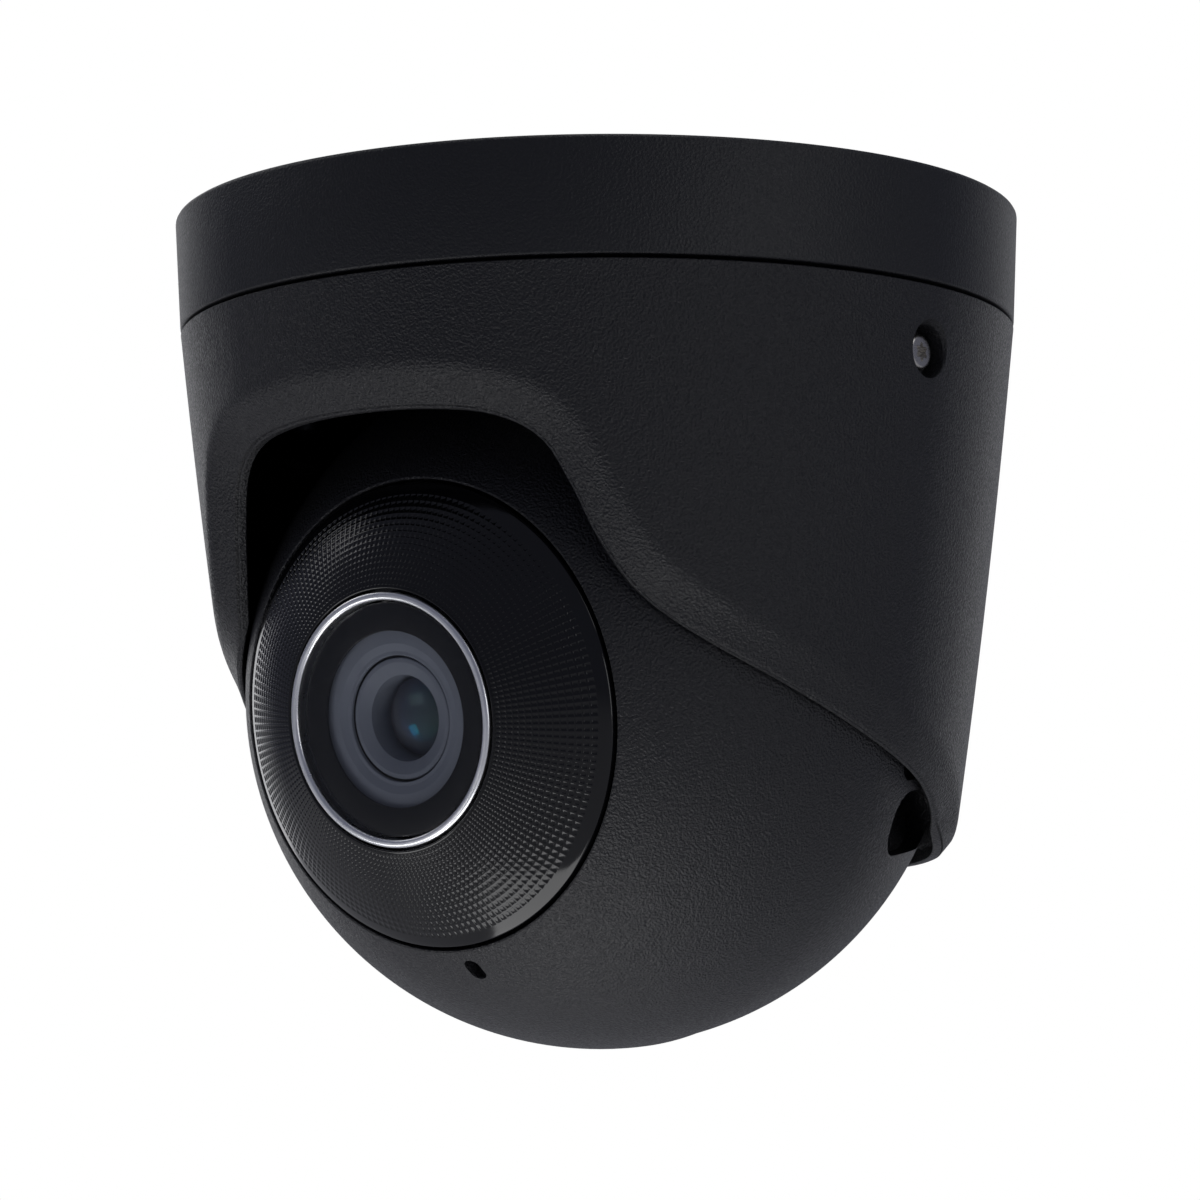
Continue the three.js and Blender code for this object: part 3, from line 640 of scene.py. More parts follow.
SLOT_OF = {part["node"]: part["material_slot"] for part in frame["record"]["subparts"]}
print("slots in use:", len(set(SLOT_OF.values())))

# %% [markdown]
# ## The base
# The base is a die casting: a ceiling plate with a rolled outer band, a shoulder that the pan
# washer bears on, and a neck that the yoke turns round. The ceiling face has a groove for the
# seal and six shallow pockets that save metal. We turn the body on the lathe, then cut pockets
# and holes. Each pocket is a wedge of a ring with rounded corners, so its outline is worked out
# from the rib's width, and the places of the screws and the gland are spared from the cutter.

# %% Base body
NECK_BOTTOM = -24
housing = turned(rounded([
    (0, 0), (47.6, 0, 0.3), (47.6, -1.5), (52, -1.5), (52, 0, 0.3), (BASE_RADIUS, 0, 0.6),
    (SEAM_RADIUS, SEAM_Z, 0.4), (51.6, SEAM_Z, 0.3), (51.6, -3.2, 0.5), (47, -3.2, 0.3),
    (47, -6.7, 0.4), (40, -6.7, 0.5), (40, NECK_BOTTOM, 0.4), (36.5, NECK_BOTTOM, 0.4),
    (36.5, -3.2, 1.5), (0, -3.2),
]), FINE_STEPS)
print("housing faces:", len(housing.data.polygons))

# %% Pockets in the ceiling face
POCKET_RING = (13, 44)
RIB = 4
POCKET_CORNER = 3
CEILING_HOLES = [moved(31.5 * math.cos(a * DEG), 31.5 * math.sin(a * DEG)) for a in (60, 180, 300)]
GLAND_PLACE = moved(-8, 20)


def pocket_outline():
    inner, outer = POCKET_RING
    points = []

    def at(radius, across):
        angle = across / radius
        points.append((radius * math.cos(angle), radius * math.sin(angle)))

    for quarter, (side, level) in enumerate([(1, 1), (-1, 1), (-1, -1), (1, -1)]):
        for step in range(7):
            turn = (90 * quarter + 15 * step) * DEG
            middle = outer - POCKET_CORNER if level > 0 else inner + POCKET_CORNER
            radius = middle + POCKET_CORNER * math.sin(turn)
            reach = radius * 30 * DEG - RIB / 2 - POCKET_CORNER
            at(radius, side * reach + POCKET_CORNER * math.cos(turn))
        if quarter in (0, 2):
            radius = outer if level > 0 else inner
            reach = radius * 30 * DEG - RIB / 2 - POCKET_CORNER
            for step in range(1, 16):
                at(radius, side * reach * (1 - step / 8))
    return points


def floor_edges(piece, height):
    """Selects the edges that lie at a height, ready for the Bevel operator."""
    bpy.ops.mesh.select_all(action="DESELECT")
    mesh = bmesh.from_edit_mesh(piece.data)
    for edge in mesh.edges:
        if all(abs(corner.co.z - height * MM) < 0.01 * MM for corner in edge.verts):
            edge.select_set(True)
    mesh.select_flush_mode()
    bmesh.update_edit_mesh(piece.data)


pocket = prism(pocket_outline(), -1.3, 1)
select_only(pocket)
bpy.ops.object.mode_set(mode="EDIT")
bpy.ops.mesh.select_mode(type="EDGE")
floor_edges(pocket, -1.3)
bpy.ops.mesh.bevel(offset=0.5 * MM, segments=3)
bpy.ops.object.mode_set(mode="OBJECT")
pockets = copies_at(pocket, [round_z(a) for a in range(0, 360, 60)])
carve(pockets, copies_at(rod(5.4, -5, 5), CEILING_HOLES))
carve(pockets, placed(rod(11, -5, 5, 96), GLAND_PLACE))
carve(housing, pockets)
print("after the pockets:", len(housing.data.polygons))

# %% [markdown]
# ### Holes, posts and the finished base
# Three screws hold the base to the ceiling, the cable comes in through a gland, and three small
# posts carry the circuit board. The neck's end is tapped for the ring that keeps the yoke up.

# %% Holes and posts of the base
BOARD_POSTS = [moved(-19, -3), moved(6, -3), moved(-2, -9.5)]
RING_SCREWS = [moved(38.3 * math.cos(a * DEG), 38.3 * math.sin(a * DEG)) for a in (45, 135, 225, 315)]
post = turned(rounded([(0, -5), (2.6, -5, 0.3), (2.6, -2.6), (0, -2.6)]))
carve(housing, copies_at(post, BOARD_POSTS), "UNION")
carve(housing, copies_at(hole_cutter(2.4, -6, 0), CEILING_HOLES))
carve(housing, placed(hole_cutter(7.3, -6, 0), GLAND_PLACE))
tapped = rod(1.2, -8, -1.8, 24)
carve(housing, copies_at(tapped, BOARD_POSTS))
tapped = rod(1.2, -30, -19, 24)
carve(housing, copies_at(tapped, RING_SCREWS))
keep(housing, "base_housing", "base_casting")

# %% [markdown]
# ### Seal and gland
# The ceiling seal is a flat rubber ring with two raised lips that the ceiling presses down. The
# gland is a rubber grommet with a rib on each side of the plate and a lip round its bore.

# %% Seal and gland
seal = turned(rounded([
    (47.95, -1.2, 0.2), (51.65, -1.2, 0.2), (51.65, -0.45, 0.15), (51.2, -0.02, 0.15),
    (50.5, -0.02, 0.15), (50.1, -0.45, 0.15), (49.5, -0.45, 0.15), (49.1, -0.02, 0.15),
    (48.4, -0.02, 0.15), (47.95, -0.45, 0.15),
]), FINE_STEPS)
keep(seal, "ceiling_seal", "ceiling_seal_ring")
gland = turned(rounded([
    (3.2, -8.2, 0.3), (4.6, -8.2, 0.4), (6.2, -4.2, 0.3), (9.2, -4.2, 0.3), (9.2, -3.5, 0.2),
    (7, -3.5), (7, -0.1, 0.5), (5.6, -0.1, 0.3), (5.0, -0.9, 0.3), (3.9, -0.9, 0.2), (3.2, -0.4, 0.2),
]))
keep(placed(gland, GLAND_PLACE), "cable_gland", "cable_grommet")

# %% [markdown]
# ### The pan bearing
# The yoke hangs on the neck between a thin acetal washer and a retaining ring held by four
# screws. All are plain turned parts with lightly rounded edges.

# %% Washer and retaining ring
washer = turned(rounded([
    (40.5, -7.7, 0.1), (46.4, -7.7, 0.1), (46.4, -7, 0.1), (40.5, -7, 0.1),
]), MEDIUM_STEPS)
keep(washer, "pan_friction_washer", "pan_washer")
ring = turned(rounded([
    (36.8, -26.8, 0.3), (42.9, -26.8, 0.3), (42.9, -24.3, 0.3), (36.8, -24.3, 0.3),
]), MEDIUM_STEPS)
drilled = rod(1.3, -30, -20, 24)
carve(ring, copies_at(drilled, RING_SCREWS))
keep(ring, "pan_retaining_ring", "pan_ring")

# %% [markdown]
# ## The shroud
# The shroud is a tapered, slightly bowed tube whose lower rim rises in a high brow over the lens,
# falls steeply, sweeps past the side ears and runs level round the back. A bevelled band follows
# the rim. No primitive or operator gives that rim, so this piece is made by formula: a smooth
# curve gives the rim's height round the tube, and at each point of it one section of the wall is
# worked out, square to the rim. The sections are then joined into one closed skin.

# %% The rim and the wall by formula
RIM = [
    (-12, -31.8), (0, -31.5), (12, -31.8), (22.5, -33), (29.6, -36.1), (33.9, -41.8), (37.9, -48.5),
    (43.8, -55), (53.1, -60.4), (66.7, -65.7), (83.9, -71.4), (102, -76.2), (116, -80.2),
    (128, -83.2), (142, -84.2), (180, -84.2), (192, -84.2),
]  # degrees round from the front, and height
UNROLLED = 50 * DEG  # mm along the rim for each degree round it
RIM_SPACING = 1.7
WALL = 2.4
LIP_WALL = 1.2
LIP_ROUNDING = 0.35


def wall_radius(z):
    below = SEAM_Z - z
    return SEAM_RADIUS - 0.1038 * below - 0.000393 * below * below


def ball_room(z):
    """Smallest inner radius that clears the ball at a height."""
    reach = BALL_RADIUS + 0.5
    return math.sqrt(max(0, reach * reach - (z - BALL_Z) ** 2))


def blend(value, start, end):
    t = min(1, max(0, (value - start) / (end - start)))
    return t * t * (3 - 2 * t)


def rim_points():
    """The smooth curve through the rim's points, in mm along the rim and mm of height."""
    fine = 60  # points between one given point and the next
    marks = [Vector((angle * UNROLLED, z)) for angle, z in RIM]
    points = []
    for i in range(1, len(marks) - 2):
        before, start, end, after = marks[i - 1:i + 3]
        leaving, arriving = (end - before) / 2, (after - start) / 2
        for k in range(fine):
            t = k / fine
            points.append(
                (2 * start - 2 * end + leaving + arriving) * t ** 3
                + (3 * end - 3 * start - 2 * leaving - arriving) * t ** 2 + leaving * t + start
            )
    return points + [marks[-2]]


def rim_stations():
    """Evenly spaced rim points, each with the direction up the wall from it."""
    points = rim_points()
    lengths = [0.0]
    for a, b in zip(points, points[1:]):
        lengths.append(lengths[-1] + (b - a).length)
    count = round(lengths[-1] / RIM_SPACING)
    stations, at = [], 1
    for k in range(count + 1):
        target = lengths[-1] * k / count
        while at < len(points) - 1 and lengths[at] < target:
            at += 1
        along = (target - lengths[at - 1]) / (lengths[at] - lengths[at - 1])
        tangent = (points[at] - points[at - 1]).normalized()
        up = Vector((-tangent.y, tangent.x)) if 0 < k < count else Vector((0, 1))
        stations.append((points[at - 1].lerp(points[at], along), up))
    return stations


print("rim stations on one side:", len(rim_stations()))

# %% [markdown]
# The band falls away from the wall in a soft bend and then runs straight to the lip, which is
# rounded. Inside, the wall keeps its thickness but never comes nearer to the ball than its
# running clearance.

# %% Sections of the shroud
BAND = {"width": 5.6, "depth": 3.0, "rear_width": 2.4, "rear_depth": 1.4}
BAND_STEPS = 14
BAND_BEND = 0.34  # share of the band's width taken by the soft bend at its top
TOP_ROWS = 12


def band_fall(away):
    """How far the band has fallen in, from 0 at its top (away = 1) to 1 at the lip."""
    gone = 1 - away
    slope = 1 / (1 - BAND_BEND / 2)
    if gone < BAND_BEND:
        return slope * gone * gone / (2 * BAND_BEND)
    return slope * (gone - BAND_BEND / 2)


def shroud_section(point, up):
    angle = point.x / UNROLLED
    rear = blend(angle, 108, 132)
    width = BAND["width"] + (BAND["rear_width"] - BAND["width"]) * rear
    depth = BAND["depth"] + (BAND["rear_depth"] - BAND["depth"]) * rear
    outside, inside = [], []
    for step in range(BAND_STEPS + 1):
        away = 1 - step / BAND_STEPS
        x, z = point + up * width * away
        room = wall_radius(z) - ball_room(z) - 0.6
        outer = wall_radius(z) - min(depth, room) * band_fall(away)
        thick = LIP_WALL + (WALL - LIP_WALL) * away
        outside.append((x, outer, z))
        inside.append((x, max(outer - thick, ball_room(z)), z))
    x, lip, z = outside.pop()
    inner_lip = inside.pop()[1]
    radius = min(LIP_ROUNDING, (lip - inner_lip) / 2)
    for step in range(5):
        turn = step * 22.5 * DEG
        rise, inset = radius * (1 - math.sin(turn)), radius * (1 - math.cos(turn))
        outside.append((x + up.x * rise, lip - inset, z + up.y * rise))
    inside += [(x + up.x * 0.15, inner_lip, z + up.y * 0.15), (x, inner_lip + 0.15, z)]
    x, _, start = outside[0]
    rows = [-19.5 + (start + 19.5) * i / TOP_ROWS for i in range(1, TOP_ROWS)]
    wall = [(x, wall_radius(row), row) for row in rows]
    lining = [(x, max(wall_radius(row) - WALL, ball_room(row)), row) for row in rows]
    x_inner = inside[0][0]
    top = [(51.2, SHROUD_TOP), (SEAM_RADIUS - 0.45, SHROUD_TOP), (SEAM_RADIUS - 0.2, SHROUD_TOP - 0.05),
           (SEAM_RADIUS - 0.05, SHROUD_TOP - 0.2), (wall_radius(-15.6), -15.6),
           (wall_radius(-17.5), -17.5), (wall_radius(-19.5), -19.5)]
    locating_lip = [(wall_radius(-19.5) - WALL, -19.5), (49.9, -17.5), (49.9, -11.7), (50.1, -11.5),
                    (51.0, -11.5), (51.2, -11.7)]
    return (
        [(x, r, z) for r, z in top] + wall + outside + inside[::-1] + lining[::-1]
        + [(x_inner, r, z) for r, z in locating_lip]
    )


stations = rim_stations()
half = [shroud_section(point, up) for point, up in stations]
print("section points:", len(half[0]))

# %% [markdown]
# The other half is the mirror image, and the skin joins each section to the next, all the way
# round. The screw wells are cut afterwards, with a flared cutter, into a boss behind the wall.

# %% Skin of the shroud
other_half = [[(-x, r, z) for x, r, z in section] for section in half[-2:0:-1]]
sections = half + other_half
corners = []
for section in sections:
    for x, r, z in section:
        angle = x / 50
        corners.append((r * math.sin(angle) * MM, -r * math.cos(angle) * MM, z * MM))
size = len(half[0])
faces = []
for i in range(len(sections)):
    ahead = (i + 1) % len(sections)
    for j in range(size):
        k = (j + 1) % size
        faces.append((i * size + j, ahead * size + j, ahead * size + k, i * size + k))
skin = bpy.data.meshes.new("shroud_skin")
skin.from_pydata(corners, [], faces)
shroud = bpy.data.objects.new("shroud_skin", skin)
bpy.context.scene.collection.objects.link(shroud)
edit(shroud, *CLEAN)
print("shroud faces:", len(skin.polygons))

# %% Screw wells of the shroud
WELL_FLOOR = 50.6
SIDE_SCREW = round_z(-1.5) @ moved(0, 0, -23.3) @ ALONG_X
OTHER_SIDE = MIRROR_X @ SIDE_SCREW
boss = turned(rounded([(0, 47.4), (5.2, 47.4, 0.4), (5.2, 52.4), (0, 52.4)]))
carve(shroud, copies_at(boss, [SIDE_SCREW, OTHER_SIDE]), "UNION")
well = turned(rounded([
    (0, WELL_FLOOR), (3.4, WELL_FLOOR), (3.4, 53.4, 0.4), (4.2, 54.6), (4.2, 56), (0, 56),
]))
carve(shroud, copies_at(well, [SIDE_SCREW, OTHER_SIDE]))
clearance = rod(1.7, 40, 52, 32)
carve(shroud, copies_at(clearance, [SIDE_SCREW, OTHER_SIDE]))
keep(shroud, "shroud", "shroud_moulding", smooth=40)

# %% [markdown]
# ### The side screws
# A screw in each side clamps the shroud to the yoke. It is a small steel screw with a six-lobed
# socket. The head is turned with rounded edges, and the socket is cut by a prism whose outline is
# a circle that swells six times.

# %% Side screws
LOBES = 6
SOCKET_DEPTH = 0.9


def lobed_outline(middle, swell):
    points = []
    for i in range(SMALL_STEPS):
        turn = 2 * math.pi * i / SMALL_STEPS
        radius = middle + swell * math.cos(LOBES * turn)
        points.append((radius * math.cos(turn), radius * math.sin(turn)))
    return points


HEAD_TOP = WELL_FLOOR + 1.9
screw = turned(rounded([
    (0, 44.4), (1.35, 44.4, 0.3), (1.35, WELL_FLOOR + 0.3), (2.25, WELL_FLOOR + 0.3, 0.2),
    (2.25, HEAD_TOP, 0.55), (0, HEAD_TOP),
]))
carve(screw, prism(lobed_outline(1.02, 0.2), HEAD_TOP - SOCKET_DEPTH, HEAD_TOP + 1))
other_screw = copy_of(screw, OTHER_SIDE)
keep(placed(screw, SIDE_SCREW), "side_screw_right", "side_screw_bright_right")
keep(other_screw, "side_screw_left", "side_screw_bright_left")

# %% [markdown]
# ### The yoke
# The yoke is a turned ring that runs on the neck, with two flat arms that reach down and forward
# to the ball's pivots. It is finished black, so that nothing shines through the gap round the
# ball; this black is partly painted shade for the dark inside. Each arm's outline is drawn flat,
# extruded, stood up along X, and bored for its pivot.

# %% Yoke
ARM_INNER, ARM_OUTER = 43.2, 45.6
ARM_HALF_WIDTH = 5
ARM_LEAN = 30
ARM_BEND = (9.2, 16)
STANDING = Matrix(((0, 0, 1, 0), (1, 0, 0, 0), (0, 1, 0, BALL_Z * MM), (0, 0, 0, 1)))


def arm_outline():
    sin, cos = math.sin(ARM_LEAN * DEG), math.cos(ARM_LEAN * DEG)
    points = []
    for step in range(25):
        turn = (180 - ARM_LEAN + 180 * step / 24) * DEG
        points.append((ARM_HALF_WIDTH * math.cos(turn), ARM_HALF_WIDTH * math.sin(turn)))
    bend_y, bend_z = ARM_BEND
    top = -25.5 - BALL_Z
    points.append((bend_y + ARM_HALF_WIDTH, bend_z - ARM_HALF_WIDTH * sin))
    points.append((bend_y + ARM_HALF_WIDTH, top))
    points.append((bend_y - ARM_HALF_WIDTH, top))
    points.append((bend_y - ARM_HALF_WIDTH, bend_z + ARM_HALF_WIDTH * (cos - sin)))
    return points


yoke = turned(rounded([
    (40.4, -8, 0.3), (46.8, -8, 0.3), (46.8, -27.7, 0.3), (43.7, -27.7, 0.3), (43.7, -24, 0.3),
    (40.4, -24, 0.3),
]), MEDIUM_STEPS)
arm = placed(prism(arm_outline(), ARM_INNER, ARM_OUTER), STANDING)
PIVOT_LINE = moved(0, 0, BALL_Z) @ ALONG_X
carve(arm, placed(rod(3, 40, 50), PIVOT_LINE))
carve(arm, placed(rod(4.6, 44.7, 50), PIVOT_LINE))
softened(arm, 0.25)
carve(yoke, copy_of(arm, MIRROR_X), "UNION")
carve(yoke, arm, "UNION")
tapped = rod(1.65, 43, 60, 32)
carve(yoke, copies_at(tapped, [SIDE_SCREW, OTHER_SIDE]))
keep(yoke, "pan_yoke", "yoke_casting")

# %% Pivot bushes
bush = turned(rounded([(3, 41.9, 0.1), (5.2, 41.9, 0.15), (5.2, 42.9, 0.15), (3, 42.9, 0.1)]))
other_bush = copy_of(bush, MIRROR_X @ PIVOT_LINE)
keep(placed(bush, PIVOT_LINE), "tilt_washer_right", "tilt_bush_right")
keep(other_bush, "tilt_washer_left", "tilt_bush_left")

# %% [markdown]
# ## The ball
# The ball is two moulded shells that meet just ahead of the tilt axis. Both are turned from arcs
# of a sphere. The front shell has a seat for the bezel, a sound hole for the microphone and
# bosses for the screws. Its edges are lightly rounded, which draws the fine bright line round
# the bezel.

# %% Front shell
SEAM_FRONT, SEAM_REAR = 2.35, 2.05
INNER_RADIUS = BALL_RADIUS - SHELL_WALL
BEZEL_SEAT = 29.5
seat_edge = math.sqrt(BALL_RADIUS ** 2 - BEZEL_SEAT ** 2)
seam_edge = math.sqrt(BALL_RADIUS ** 2 - SEAM_FRONT ** 2)
outer_arc = arc(BALL_RADIUS, pole_angle(BALL_RADIUS, SEAM_FRONT) - 0.6,
                pole_angle(BALL_RADIUS, seat_edge) + 0.6, 64)
inner_arc = arc(INNER_RADIUS, pole_angle(INNER_RADIUS, 29.4), pole_angle(INNER_RADIUS, 4.4), 40)
front = turned(rounded([
    (seam_edge, SEAM_FRONT, 0.2), *outer_arc, (BEZEL_SEAT, seat_edge, 0.25), (BEZEL_SEAT, 31.6),
    (25.5, 31.6), (25.5, 29.4), *inner_arc, (33.4, 4.4), (33.4, SEAM_FRONT),
]), FINE_STEPS)
CORNERS = [(1, 1), (-1, 1), (-1, -1), (1, -1)]
SHELL_SCREWS = [moved(27.9 * x, 27.9 * y) for x, y in CORNERS]
CORE_POSTS = [moved(20.5 * x, 20.5 * y) for x, y in CORNERS]
screw_boss = rod(3, SEAM_FRONT, 17, 32)
core_post = rod(3, 8.8, 30.5, 32)
carve(front, copies_at(screw_boss, SHELL_SCREWS), "UNION")
carve(front, copies_at(core_post, CORE_POSTS), "UNION")
print("front shell with its bosses:", len(front.data.polygons))

# %% Holes of the front shell
SOUND_HOLE = Matrix.Rotation((134.4 - 90) * DEG, 4, "X") @ moved(1.4, 0)
slot = prism(box_outline(-1.1, -1.8, 1.1, 1.8, 1.09), 36, 50)
carve(front, placed(slot, SOUND_HOLE))
pivot_room = rod(6.9, 41.6, 60)
carve(front, copies_at(pivot_room, [ALONG_X, MIRROR_X @ ALONG_X]))
carve(front, copies_at(rod(1.2, 0, 15, 24), SHELL_SCREWS))
carve(front, copies_at(rod(1.2, 5, 16, 24), CORE_POSTS))
keep(placed(front, BALL_FRAME), "front_shell", "front_shell_moulding", smooth=40)

# %% [markdown]
# ### Rear shell
# The rear shell has a flat in each side where the yoke's arm works, and a dark hollow below it.
# Both need a wall behind them, so we add the wall first, as the same shape grown by two
# millimetres and trimmed to the ball, and then cut the shape itself out of it. The screws sit in
# deep wells at the back.

# %% Rear shell body
BACK_OUTER, BACK_INNER, BACK_HOLE = -36, -33.8, 6.3
outer_arc = arc(REAR_RADIUS, pole_angle(REAR_RADIUS, BACK_OUTER) - 0.8,
                pole_angle(REAR_RADIUS, SEAM_REAR) + 0.6, 72)
inner_arc = arc(INNER_RADIUS, pole_angle(INNER_RADIUS, -1.2), pole_angle(INNER_RADIUS, BACK_INNER), 40)
back_edge = math.sqrt(REAR_RADIUS ** 2 - BACK_OUTER ** 2)
rear_edge = math.sqrt(REAR_RADIUS ** 2 - SEAM_REAR ** 2)
rear = turned(rounded([
    (BACK_HOLE, BACK_OUTER, 0.4), (back_edge, BACK_OUTER, 0.4), *outer_arc, (rear_edge, SEAM_REAR, 0.2),
    (36.3, SEAM_REAR), (36.3, 0.6), (34.3, 0.6), (34.3, SEAM_REAR), (33.4, SEAM_REAR), (33.4, -1.2),
    *inner_arc, (BACK_HOLE, BACK_INNER),
]), FINE_STEPS)
print("rear shell:", len(rear.data.polygons))

# %% Side flats and screw wells
SIDE_ON = Matrix(((0, 0, 1, 0), (1, 0, 0, 0), (0, 1, 0, 0), (0, 0, 0, 1)))


FLAT_X = 42.4
FLAT_FRONT = -3.7
HOLLOW_FLOOR = 31
OUTSIDE = 60  # well beyond the ball


def side_flat(growth):
    """The flat beside one yoke arm and the hollow below it, grown by a wall's thickness."""
    front_edge = FLAT_FRONT + growth
    below = box_outline(-24 - growth, -22 - growth, -15.9 + growth, front_edge, 3.5)
    hollow = prism(below, HOLLOW_FLOOR - growth, OUTSIDE)
    beside = box_outline(-14.5 - growth, -30, 22 + growth, front_edge, 2)
    behind = prism(beside, FLAT_X - growth, OUTSIDE)
    above = prism(box_outline(-growth, -30, 22 + growth, 9, 2), FLAT_X - growth, OUTSIDE)
    hub = rod(9 + growth, 41.6 - growth, 60)
    whole = placed(hub, ALONG_X)
    for cutter in (behind, above, hollow):
        carve(whole, placed(cutter, SIDE_ON), "UNION")
    return as_one([whole, copy_of(whole, MIRROR_X)])


trim = turned([
    (0, BACK_OUTER + 0.2), *arc(REAR_RADIUS - 0.4, pole_angle(REAR_RADIUS - 0.4, BACK_OUTER + 0.2),
                                pole_angle(REAR_RADIUS - 0.4, 0.5), 48), (0, 0.5),
], 128)
towers = copies_at(rod(4.2, -60, 0.5, 48), SHELL_SCREWS)
linings = carve(side_flat(2), towers, "UNION")
carve(linings, trim, "INTERSECT")
carve(rear, linings, "UNION")
carve(rear, side_flat(0))
carve(rear, copies_at(rod(2.7, -60, -7, 48), SHELL_SCREWS))
carve(rear, copies_at(rod(1.8, -20, 10, 32), SHELL_SCREWS))
hub = rod(6, 33.6, 41.6, 64)
carve(rear, copies_at(hub, [ALONG_X, MIRROR_X @ ALONG_X]), "UNION")
bore = rod(2, 36.7, 60, 32)
carve(rear, copies_at(bore, [ALONG_X, MIRROR_X @ ALONG_X]))
keep(placed(rear, BALL_FRAME), "rear_shell", "rear_shell_moulding", smooth=40)

# %% [markdown]
# ### Seals of the ball
# A flat ring seals the two shells, a second one seals the bezel, and a rubber grommet takes the
# lead through the back. A soft boot holds the microphone against its sound hole.

# %% Seals, grommet and microphone
shell_seal = turned(rounded([
    (34.6, 0.9, 0.1), (36, 0.9, 0.1), (36, 1.95, 0.4), (34.6, 1.95, 0.4),
]), MEDIUM_STEPS)
keep(placed(shell_seal, BALL_FRAME), "shell_seal", "shell_seal_ring")
bezel_seal = turned(rounded([
    (25.9, 31.9, 0.2), (28.9, 31.9, 0.2), (28.9, 32.6, 0.2), (25.9, 32.6, 0.2),
]), MEDIUM_STEPS)
keep(placed(bezel_seal, BALL_FRAME), "bezel_seal", "bezel_seal_ring")
grommet = turned(rounded([
    (2.6, -40.5, 0.3), (4, -40.5, 0.4), (5.2, -37.4, 0.3), (8.6, -37.2, 0.3), (8.6, -36.3, 0.2),
    (6, -36.3), (6, -33.5), (7.6, -33.5, 0.2), (7.6, -32.7, 0.2), (2.6, -32.7, 0.2),
]))
keep(placed(grommet, BALL_FRAME), "rear_cable_gland", "rear_grommet")
capsule = turned(rounded([
    (0, 34.2), (2, 34.2, 0.2), (2, 37.2, 0.2), (0.6, 37.2, 0.1), (0.6, 37, 0.1), (0, 37),
]))
keep(placed(capsule, BALL_FRAME @ SOUND_HOLE), "microphone", "microphone_capsule")
boot = turned(rounded([(2.3, 33.8, 0.1), (3, 33.8, 0.2), (3, 37.4, 0.2), (2.3, 37.4, 0.1)]))
keep(placed(boot, BALL_FRAME @ SOUND_HOLE), "microphone_boot", "microphone_sleeve")

# %% [markdown]
# ## The dimpled bezel
# The bezel is a domed ring of polished black plastic, and the infrared lamps shine through it.
# Its face carries fifteen rings of small square dimples, a hundred and eighty to a ring, and they
# draw the bright net that one sees in its reflections. The lathe gives the face one quad for each
# dimple: one step of the spin for each dimple, one outline segment for each ring. Those quads are
# then inset one by one, first on the surface to leave the land, then downwards for the wall and
# the rounded floor.

# %% Bezel body
DIMPLES_ROUND = 180
DIMPLE_RINGS = 15
OUTER_RING = 27.85  # outer edge of the first ring of dimples
FIRST_PITCH, PITCH_STEP = 0.8, 0.008  # the rings draw closer towards the lens


def face_height(radius):
    """Height of the domed face along the lens axis."""
    return math.sqrt(BALL_RADIUS ** 2 - radius * radius) - 0.25


ring_edges = [OUTER_RING]
for ring_number in range(DIMPLE_RINGS):
    ring_edges.append(ring_edges[-1] - FIRST_PITCH + PITCH_STEP * ring_number)
face_radii = [28.5, 28.2] + ring_edges + [16.7]
face_points = [(radius, face_height(radius)) for radius in face_radii]
under_points = [(radius, face_height(radius) - 2.2) for radius in (17.8, 19.5, 21.5, 23.5, 25.5)]
bezel = turned(rounded([
    (BEZEL_RADIUS, 32.9, 0.2), (BEZEL_RADIUS, face_height(BEZEL_RADIUS), 0.45), *face_points,
    (16.25, face_height(16.25), 0.2), (16.25, 40.1), (12.2, 40.1, 0.2), (12.2, 38.4, 0.2),
    (17.8, 38.4), *under_points, (26.8, 32.9, 0.2),
]), DIMPLES_ROUND)
print("rings end at radius", round(ring_edges[-1], 2))

# %% Press the dimples
LAND = 0.11  # half the width of the land between dimples, in mm


def select_dimple_quads(piece):
    """Selects the quads between the first and the last ring edge on the face."""
    mesh = bmesh.from_edit_mesh(piece.data)
    lowest, highest = ring_edges[-1] * MM, ring_edges[0] * MM
    for face in mesh.faces:
        middle = face.calc_center_median()
        radius = math.hypot(middle.x, middle.y)
        on_face = middle.z > (face_height(radius / MM) - 0.5) * MM
        face.select_set(lowest < radius < highest and on_face)
    bmesh.update_edit_mesh(piece.data)


select_only(bezel)
bpy.ops.object.mode_set(mode="EDIT")
bpy.ops.mesh.select_mode(type="FACE")
bpy.ops.mesh.select_all(action="DESELECT")
select_dimple_quads(bezel)
bpy.ops.mesh.inset(thickness=LAND * MM, use_individual=True)
bpy.ops.mesh.inset(thickness=0.07 * MM, depth=-0.07 * MM, use_individual=True)
bpy.ops.mesh.inset(thickness=0.08 * MM, depth=-0.03 * MM, use_individual=True)
bpy.ops.object.mode_set(mode="OBJECT")
keep(placed(bezel, BALL_FRAME), "bezel", "dimpled_bezel", smooth=50)

# %% [markdown]
# ### Trim ring, window and what shows behind it
# A chrome ring frames a flat window. Behind the window are a black printed mask, a grey surround
# and the lens barrel; the surround's grey is partly a painted reflection of the bright studio in
# the window. They are all turned, and what matters is the small steps between them: they
# make the thin rings of light that tell the eye there is depth.

